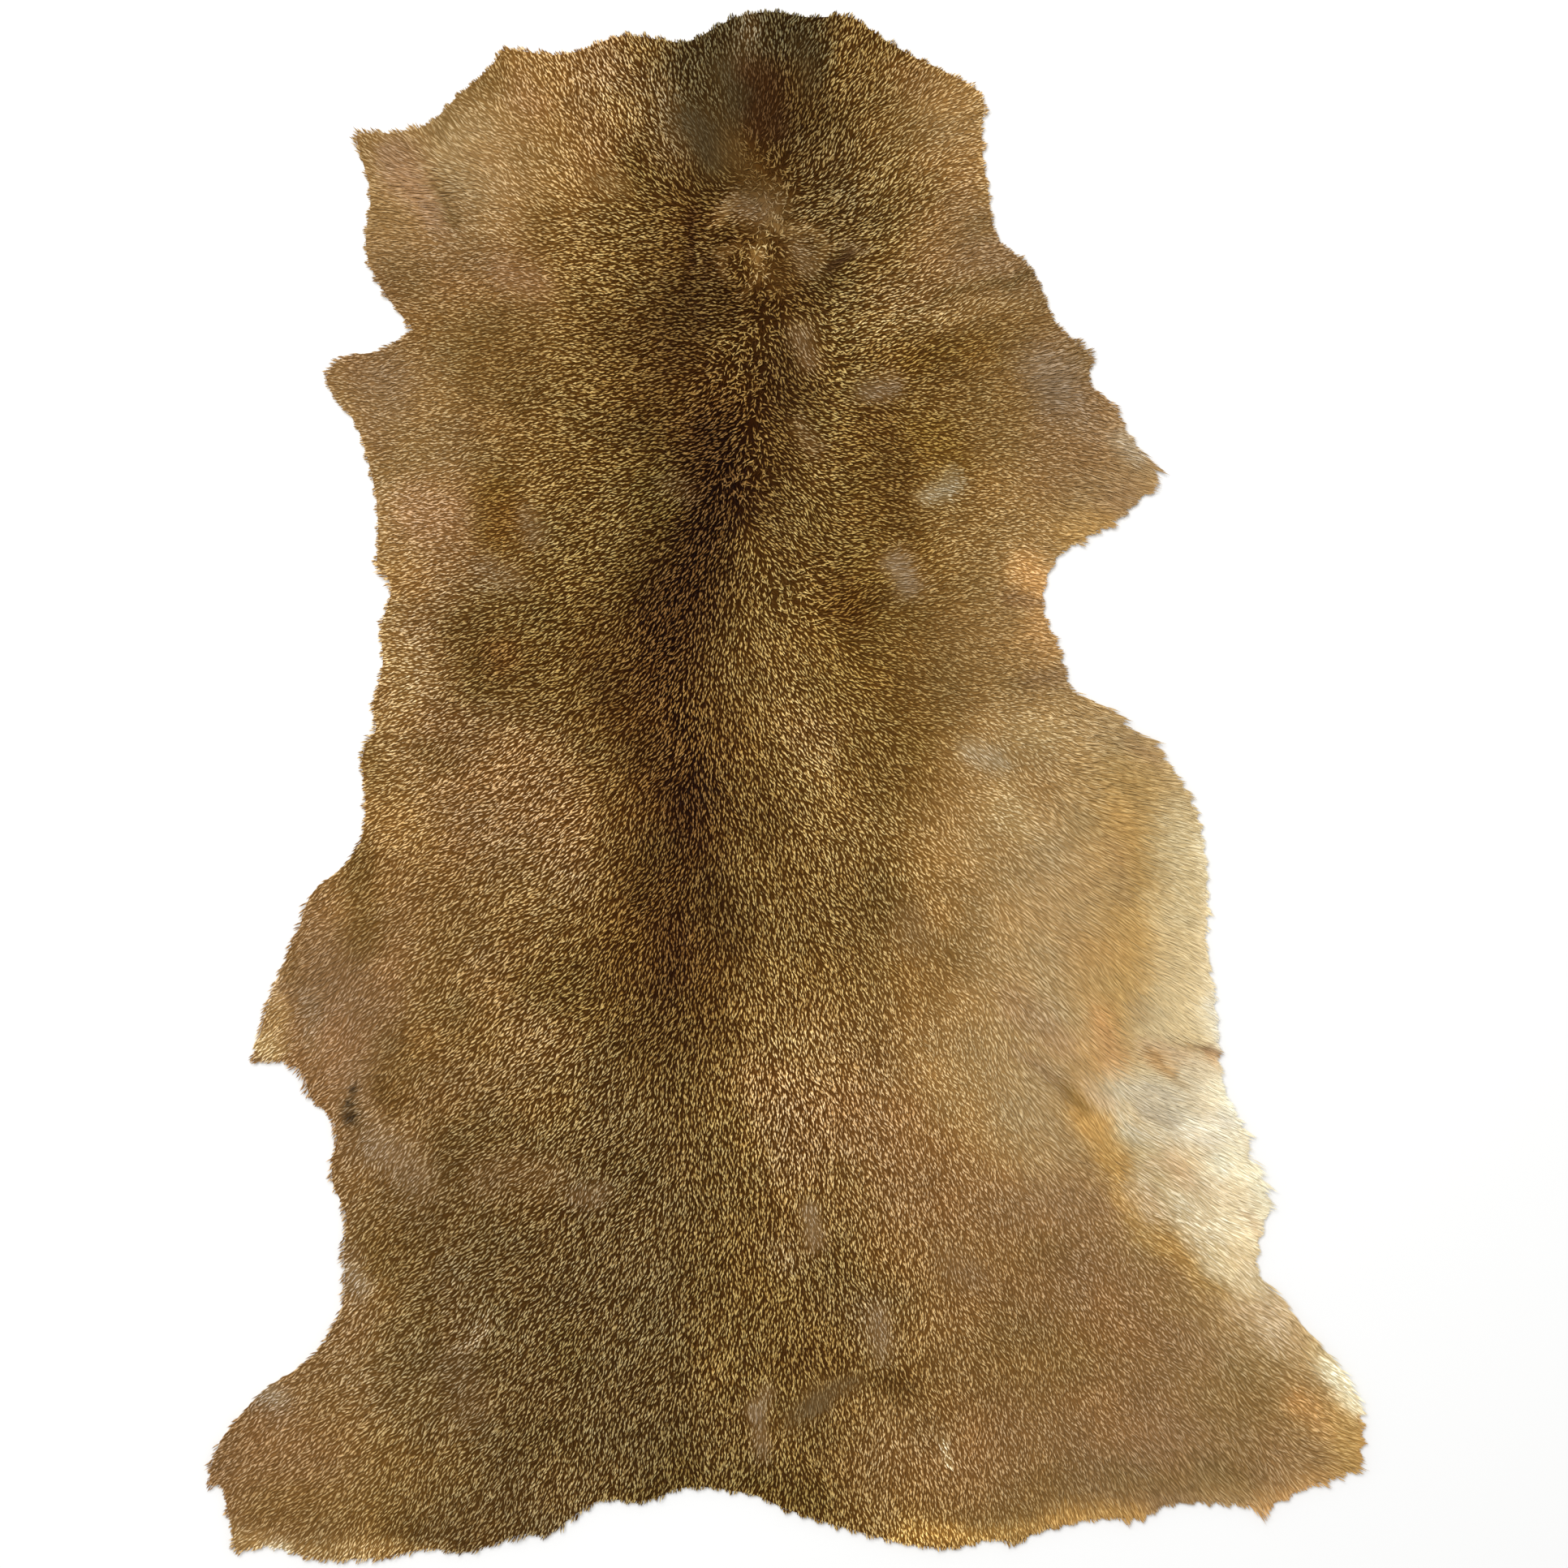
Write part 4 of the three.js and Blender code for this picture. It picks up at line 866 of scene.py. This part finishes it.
def hair_tree():
    """Lays locks of hair over a piece of skin, along the lie of the coat and no further than the rim."""
    t = Tree("laid_hair", "GeometryNodeTree")
    t.tree.is_modifier = True
    t.give("Hair", "NodeSocketGeometry")
    t.take("Skin", "NodeSocketGeometry")
    sockets = {name: t.take(name, kind) for name, kind in (
        ("Lock", "NodeSocketObject"), ("Material", "NodeSocketMaterial"), ("Seed", "NodeSocketInt"))}
    sockets.update({name: t.take(name, "NodeSocketFloat") for name in HAIR_SIZES})
    given = t.node("NodeGroupInput").outputs

    def math_node(operation, a, b=0.0, c=0.0):
        made = t.tree.nodes.new("ShaderNodeMath")
        made.operation = operation
        for socket, value in zip(made.inputs, (a, b, c)):
            if isinstance(value, bpy.types.NodeSocket):
                t.tree.links.new(value, socket)
            else:
                socket.default_value = value
        return made.outputs[0]

    def stored(name, kind="FLOAT"):
        made = t.node("GeometryNodeInputNamedAttribute", {"Name": name}, data_type=kind)
        return next(s for s in made.outputs if s.enabled and s.name == "Attribute")

    def chance(low_value, high_value, seed):
        made = t.node("FunctionNodeRandomValue", data_type="FLOAT")
        numbers = {s.name: s for s in made.inputs if s.enabled}
        numbers["Min"].default_value = low_value
        numbers["Max"].default_value = high_value
        numbers["Seed"].default_value = seed
        return next(s for s in made.outputs if s.enabled)

    def between(on_back, on_sleek):
        """A value for the speckled back, passing into one for the sleek flank."""
        return math_node("MULTIPLY_ADD", stored("sleek"), math_node("SUBTRACT", on_sleek, on_back), on_back)

    def noise(scale, detail):
        return t.node("ShaderNodeTexNoise", {"Vector": place, "Scale": scale, "Detail": detail},
                      noise_dimensions="2D").outputs[0]

    def store(geometry, name, value, kind="FLOAT", domain="POINT"):
        return t.node("GeometryNodeStoreNamedAttribute", {"Geometry": geometry, "Name": name, "Value": value},
                      data_type=kind, domain=domain).outputs[0]

    def rooted(gap, least, most, seed):
        """Evenly spaced roots of hair, with a chance from least to most stored on each."""
        found = t.node("GeometryNodeDistributePointsOnFaces",
                       {"Mesh": given["Skin"], "Distance Min": gap, "Density Max": MOST_ROOTS,
                        "Seed": math_node("ADD", given["Seed"], seed)},
                       distribute_method="POISSON", use_legacy_normal=True).outputs["Points"]
        return store(found, "chance", chance(least, most, 17))

    # Pale-banded locks over dark ones: a chance over a half is a pale one's
    both = t.node("GeometryNodeJoinGeometry")
    for points in (rooted(given["Over gap"], 0.5, 1.0, 0), rooted(given["Under gap"], 0.0, 0.5, UNDER_SEED)):
        t.tree.links.new(points, both.inputs[0])
    place = t.node("GeometryNodeInputPosition").outputs[0]
    place_along = t.node("ShaderNodeSeparateXYZ", {0: place}).outputs

    # How long each lock is: cut short where it would pass the rim
    full = between(given["Back length"], given["Sleek length"])
    full = math_node("MULTIPLY", full, chance(*LENGTH_SPREAD, 14))
    past_rim = math_node("MULTIPLY", given["Overhang"], chance(*TIP_SPREAD, 16))
    tip_room = math_node("ADD", stored("room"), past_rim)
    allowed = math_node("DIVIDE", tip_room, math_node("MAXIMUM", stored("leaving"), 0.02))
    points = store(both.outputs[0], "length", math_node("MINIMUM", full, allowed))
    too_short = t.node("FunctionNodeCompare", {0: stored("length"), 1: SHORTEST_LOCK},
                       operation="LESS_THAN").outputs[0]
    points = t.node("GeometryNodeDeleteGeometry", {"Geometry": points, "Selection": too_short},
                    domain="POINT").outputs[0]

    # Locks are numbered in rows along the hide
    row = math_node("FLOOR", math_node("DIVIDE", place_along["Y"], MAP_ROW))
    weight = math_node("MULTIPLY_ADD", row, ROW_BEFORE_PLACE, place_along["X"])
    points = t.node("GeometryNodeSortElements", {"Geometry": points, "Sort Weight": weight},
                    domain="POINT").outputs[0]
    points = store(points, "order", t.node("GeometryNodeInputIndex").outputs[0])

    # Which way it points: along the lie, swirled and strayed, and lifted off the slope of the skin
    direction = t.node("ShaderNodeSeparateXYZ", {0: stored("lie", "FLOAT_VECTOR")}).outputs
    yaw = math_node("ARCTAN2", direction["Y"], direction["X"])
    swirling = between(BACK_SWIRL, SLEEK_SWIRL)
    swirling = math_node("MULTIPLY_ADD", stored("unsettled"), UNSETTLED_SWIRL, swirling)
    swirl = math_node("MULTIPLY", math_node("SUBTRACT", noise(FINE_SWIRL, 1.0), 0.5), swirling)
    drift = math_node("MULTIPLY", math_node("SUBTRACT", noise(BROAD_SWIRL, 0.0), 0.5), BROAD_SWIRL_TURN)
    straying = between(BACK_STRAY, SLEEK_STRAY)
    straying = math_node("MULTIPLY_ADD", stored("unsettled"), UNSETTLED_SWIRL, straying)
    stray = math_node("MULTIPLY", chance(-1.0, 1.0, 11), straying)
    yaw = math_node("ADD", math_node("ADD", yaw, swirl), math_node("ADD", drift, stray))
    lift = math_node("MULTIPLY", between(BACK_LIFT, SLEEK_LIFT), chance(*LIFT_SPREAD, 12))
    pitch = math_node("MULTIPLY", math_node("ADD", lift, math_node("ARCTANGENT", direction["Z"])), -1.0)
    ridge = between(BACK_RIDGE, SLEEK_RIDGE)
    roll = math_node("MULTIPLY", chance(-MOST_ROLL, MOST_ROLL, 13), ridge)
    turn = t.node("FunctionNodeEulerToRotation",
                  {0: t.node("ShaderNodeCombineXYZ", {"X": roll, "Y": pitch, "Z": yaw}).outputs[0]})
    width = between(given["Back width"], given["Sleek width"])
    width = math_node("MULTIPLY", width, chance(*WIDTH_SPREAD, 15))
    width = math_node("MULTIPLY", width, math_node("MULTIPLY_ADD", stored("smooth"), -FUZZY_THINNER, 1.0))
    width = math_node("MINIMUM", width, math_node("MULTIPLY", stored("length"), WIDEST_FOR_LENGTH))

    # The light locks lie over the dark ones
    pale = math_node("GREATER_THAN", stored("chance"), 0.5)
    raised = math_node("MULTIPLY", math_node("MULTIPLY", pale, stored("speckle")), PALE_LOCK_RAISED)
    up = t.node("ShaderNodeCombineXYZ", {"Z": raised}).outputs[0]
    points = t.node("GeometryNodeSetPosition", {"Geometry": points, "Offset": up}).outputs[0]
    lock = t.node("GeometryNodeObjectInfo", {"Object": given["Lock"], "As Instance": True})
    size = t.node("ShaderNodeCombineXYZ",
                  {"X": stored("length"), "Y": width, "Z": math_node("MULTIPLY", width, ridge)}).outputs[0]
    laid = t.node("GeometryNodeInstanceOnPoints",
                  {"Points": points, "Instance": lock.outputs["Geometry"], "Rotation": turn.outputs[0],
                   "Scale": size})
    real = t.node("GeometryNodeRealizeInstances", {"Geometry": laid.outputs[0]}).outputs[0]

    # Each lock has its own small square of the map
    in_lock = t.node("ShaderNodeSeparateXYZ", {0: stored("lock_place", "FLOAT_VECTOR")}).outputs
    column = math_node("MODULO", stored("order"), ATLAS_ACROSS)
    level = math_node("FLOOR", math_node("DIVIDE", stored("order"), ATLAS_ACROSS))
    map_x = math_node("DIVIDE", math_node("ADD", column, in_lock["X"]), ATLAS_ACROSS)
    map_y = math_node("DIVIDE", math_node("ADD", level, in_lock["Y"]), ATLAS_UP)
    on_map = t.node("ShaderNodeCombineXYZ", {"X": map_x, "Y": map_y}).outputs[0]
    mapped = store(real, "OFBake", on_map, "FLOAT2", "CORNER")
    painted = t.node("GeometryNodeSetMaterial", {"Geometry": mapped, "Material": given["Material"]})
    t.node("NodeGroupOutput", {"Hair": painted.outputs[0]})
    return t.tree, sockets


def agouti_group():
    """Banded hair: light locks, dark at the root and pale from before the middle, over dark ones."""
    t = Tree("agouti_band", "ShaderNodeTree")
    for name, kind, value in (
            ("Coat", "NodeSocketColor", (0.3, 0.2, 0.1, 1)), ("Speckle", "NodeSocketFloat", 0.5),
            ("Along", "NodeSocketFloat", 0.6), ("Chance", "NodeSocketFloat", 0.5)):
        t.take(name, kind, value)
    t.give("Color", "NodeSocketColor")
    given = t.node("NodeGroupInput").outputs

    def curve(value, stops):
        made = t.node("ShaderNodeValToRGB", {"Fac": value})
        elements = made.color_ramp.elements
        for place, shade in stops[2:]:
            elements.new(place)
        for element, (place, shade) in zip(elements, sorted(stops)):
            element.position = place
            element.color = (shade, shade, shade, 1)
        return made.outputs["Color"]

    def math_node(operation, *values):
        return t.node("ShaderNodeMath", dict(enumerate(values)), operation=operation).outputs[0]

    pale = math_node("MULTIPLY", curve(given["Along"], BAND), PALE)
    pale = math_node("MULTIPLY", pale, curve(given["Chance"], [(0.5, 0.45), (0.75, 0.8), (1.0, 1.0)]))
    dark = math_node("MULTIPLY", curve(given["Along"], [(0.0, 0.6), (0.5, 0.85), (1.0, 1.0)]), DARK)
    dark = math_node("MULTIPLY", dark, curve(given["Chance"], [(0.0, 0.45), (0.5, 1.0)]))
    is_light = math_node("GREATER_THAN", given["Chance"], 0.5)
    mixed = math_node("MULTIPLY_ADD", is_light, math_node("SUBTRACT", pale, dark), dark)
    share = math_node("MULTIPLY_ADD", given["Speckle"], 1 - LEAST_BANDED, LEAST_BANDED)
    shade = math_node("MULTIPLY_ADD", math_node("SUBTRACT", mixed, 1.0), share, 1.0)
    shade = math_node("MAXIMUM", shade, DARKEST)
    tinted = t.node("ShaderNodeVectorMath", {0: shade, 1: TINT}, operation="POWER")
    tone = t.node("ShaderNodeVectorMath", {0: given["Coat"], 1: tinted.outputs[0]}, operation="MULTIPLY")
    t.node("NodeGroupOutput", {"Color": tone.outputs[0]})
    return t.tree


def material(name):
    """An empty material with nodes."""
    made = bpy.data.materials.new(name)
    made.use_nodes = True
    made.node_tree.nodes.clear()
    return made


def finish_surface(made, colour, roughness, specular, normal=None):
    """Gives a material its surface."""
    inputs = {"Roughness": roughness, "Specular IOR Level": specular}
    surface = add_node(made.node_tree, "ShaderNodeBsdfPrincipled", inputs)
    made.node_tree.links.new(colour, surface.inputs["Base Color"])
    if normal is not None:
        made.node_tree.links.new(normal, surface.inputs["Normal"])
    add_node(made.node_tree, "ShaderNodeOutputMaterial", {"Surface": surface.outputs[0]})


def attribute(tree, name):
    """The outputs of a value stored on the mesh."""
    return add_node(tree, "ShaderNodeAttribute", attribute_name=name).outputs


def banded_coat(tree, along, chance):
    """The coat's own tone and speckle, banded at a place along a lock of that chance."""
    coat = add_node(tree, "ShaderNodeVectorMath", {0: attribute(tree, "coat_colour")["Vector"], 1: COAT_GAIN},
                    operation="MULTIPLY")
    return add_node(tree, "ShaderNodeGroup",
                    {"Coat": coat.outputs[0], "Speckle": attribute(tree, "speckle")["Fac"], "Along": along,
                     "Chance": chance}, node_tree=agouti).outputs[0]


# Along a light lock from root to tip, how pale; the pale and dark shades of the coat's own tone; how banded
# the plainest hair is, and the darkest shade of all; how much faster green and blue change than red; and what
# the soft light takes from the coat, given back
BAND = [(0.0, 0.10), (0.38, 0.15), (0.5, 0.7), (0.6, 1.0), (0.9, 1.0), (1.0, 0.6)]
PALE, DARK = 3.6, 0.5
LEAST_BANDED, DARKEST = 0.04, 0.06
TINT = (1.0, 1.28, 1.8)
COAT_GAIN = (1.185, 1.14, 1.085)

# How fine the strands of a lock are, across and along it, how much they differ, and how unlike the next
# lock's they are
STRANDS = (5.0, 1.2, 0.0)
STRAND_CONTRAST = 0.3
UNLIKE_NEXT = 900.0
agouti = agouti_group()


def coat_material():
    """Banded hair, with each lock a few strands side by side."""
    made = material("banded_hair")
    tree = made.node_tree
    banded = banded_coat(tree, attribute(tree, "along")["Fac"], attribute(tree, "chance")["Fac"])
    stretched = add_node(tree, "ShaderNodeVectorMath",
                         {0: attribute(tree, "lock_place")["Vector"], 1: STRANDS}, operation="MULTIPLY")
    own = add_node(tree, "ShaderNodeMath", {0: attribute(tree, "chance")["Fac"], 1: UNLIKE_NEXT},
                   operation="MULTIPLY")
    strand = add_node(tree, "ShaderNodeTexNoise",
                      {"Vector": stretched.outputs[0], "W": own.outputs[0], "Scale": 1.0, "Detail": 1.0},
                      noise_dimensions="4D")
    shade = add_node(tree, "ShaderNodeMapRange",
                     {"Value": strand.outputs[0], "From Min": 0.3, "From Max": 0.7,
                      "To Min": 1 - STRAND_CONTRAST, "To Max": 1 + STRAND_CONTRAST})
    stranded = add_node(tree, "ShaderNodeVectorMath", {0: banded, "Scale": shade.outputs[0]},
                        operation="SCALE")
    finish_surface(made, stranded.outputs[0], roughness=0.62, specular=0.07)
    return made


def undercoat_material():
    """Short dark wool between the locks."""
    made = material("undercoat")
    tree = made.node_tree
    place = add_node(tree, "ShaderNodeTexCoord").outputs["Object"]
    wool = add_node(tree, "ShaderNodeTexNoise", {"Vector": place, "Scale": 900.0, "Detail": 3.0})
    half = add_node(tree, "ShaderNodeMath", {0: wool.outputs[0], 1: 0.5}, operation="MULTIPLY")
    banded = banded_coat(tree, 0.2, half.outputs[0])
    bump = add_node(tree, "ShaderNodeBump", {"Strength": 0.5, "Distance": 0.001, "Height": wool.outputs[0]})
    finish_surface(made, banded, roughness=0.85, specular=0.05, normal=bump.outputs[0])
    return made


def suede_material():
    """The tanned flesh side: pale, napped, with darker stretched places."""
    made = material("suede")
    tree = made.node_tree
    place = add_node(tree, "ShaderNodeTexCoord").outputs["Object"]
    patches = add_node(tree, "ShaderNodeTexNoise",
                       {"Vector": place, "Scale": 9.0, "Detail": 5.0, "Distortion": 0.6})
    nap = add_node(tree, "ShaderNodeTexNoise", {"Vector": place, "Scale": 700.0, "Detail": 4.0})
    tint = add_node(tree, "ShaderNodeMix", {"Factor": patches.outputs[0]}, data_type="RGBA")
    tint.inputs["A"].default_value = (0.50, 0.40, 0.28, 1)
    tint.inputs["B"].default_value = (0.70, 0.62, 0.48, 1)
    bump = add_node(tree, "ShaderNodeBump", {"Strength": 0.35, "Distance": 0.0006, "Height": nap.outputs[0]})
    colour = next(s for s in tint.outputs if s.enabled)
    finish_surface(made, colour, roughness=0.9, specular=0.15, normal=bump.outputs[0])
    return made


def pelt_piece():
    """The skin with its woolly top, cut edge and suede flesh side, one closed piece."""
    count = len(plan)
    loop = border_loop(plan_faces)
    under = {v: count + i for i, v in enumerate(loop)}
    points = [(*p, h) for p, h in zip(plan, top)] + [(*plan[v], 0.0) for v in loop]
    walls = [(b, a, under[a], under[b]) for a, b in zip(loop, loop[1:] + loop[:1])]
    flesh_points = [Vector(plan[v]) for v in loop]
    _, _, flesh, origins, *_ = delaunay_2d_cdt(flesh_points, [], [list(range(len(loop)))], 1, 1e-9)
    flesh = [tuple(count + origins[v][0] for v in reversed(f)) for f in flesh]
    pelt = mesh_object("pelt", points, [tuple(f) for f in plan_faces] + walls + flesh)
    colours = np.ones((len(points), 4))
    colours[:count, :3] = coat_colour[:count]
    colours[count:, :3] = coat_colour[loop]
    keep(pelt.data, "coat_colour", "FLOAT_COLOR", colours)
    keep(pelt.data, "speckle", "FLOAT", np.concatenate([speckle[:count], speckle[loop]]))
    pelt.data.materials.append(undercoat_material())
    pelt.data.materials.append(suede_material())
    for i, polygon in enumerate(pelt.data.polygons):
        polygon.material_index = 0 if i < len(plan_faces) else 1
        polygon.use_smooth = i < len(plan_faces)
    return pelt


pelt = pelt_piece()
coat = coat_material()
lock = lock_shape()
laid_hair, inputs = hair_tree()


def coat_strip(name, chosen, seed):
    """Hair on part of the skin, as a plain mesh."""
    base = top_mesh(name, chosen)
    growth = base.modifiers.new("hair", "NODES")
    growth.node_group = laid_hair
    for socket, value in {"Lock": lock, "Material": coat, "Seed": seed, **HAIR_SIZES}.items():
        growth[inputs[socket]] = value
    bpy.context.view_layer.update()
    evaluated = base.evaluated_get(bpy.context.evaluated_depsgraph_get())
    grown = bpy.data.meshes.new_from_object(evaluated)
    base.modifiers.clear()
    base.data = grown
    return base


middles = coat_plan[coat_faces].mean(axis=1)[:, 0]
cuts = np.quantile(middles, np.linspace(0, 1, len(STRIPS) + 1))
cuts[0], cuts[-1] = -1, 1
strips = []
for i, name in enumerate(STRIPS):
    chosen = coat_faces[(middles >= cuts[i]) & (middles < cuts[i + 1])]
    strips.append(coat_strip(name, chosen, FIRST_SEED + i))
bpy.data.objects.remove(lock)

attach(pelt, "root")
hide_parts("hide")
for strip in strips:
    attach(strip, "root")

# A plain pale floor, soft sky light and one large soft lamp
corners = [(FLOOR_HALF * x, FLOOR_HALF * y, 0) for x, y in ((-1, -1), (1, -1), (1, 1), (-1, 1))]
floor = mesh_object("floor", corners, [(0, 1, 2, 3)])
floor_paint = material("floor_paint")
shade = add_node(floor_paint.node_tree, "ShaderNodeRGB")
shade.outputs[0].default_value = (0.86, 0.86, 0.855, 1)
finish_surface(floor_paint, shade.outputs[0], roughness=0.9, specular=0.1)
floor.data.materials.append(floor_paint)

world = bpy.data.worlds.new("sky")
world.use_nodes = True
world.node_tree.nodes["Background"].inputs["Color"].default_value = (1, 1, 1, 1)
world.node_tree.nodes["Background"].inputs["Strength"].default_value = 0.5
bpy.context.scene.world = world
lamp = bpy.data.objects.new("lamp", bpy.data.lights.new("lamp", "AREA"))
lamp.data.size = 2.5
lamp.data.energy = 220
lamp.location = (-0.9, 1.5, 4.8)
lamp.rotation_euler = (-lamp.location).to_track_quat("-Z", "Y").to_euler()
bpy.context.scene.collection.objects.link(lamp)
bpy.context.scene.view_settings.view_transform = "Standard"
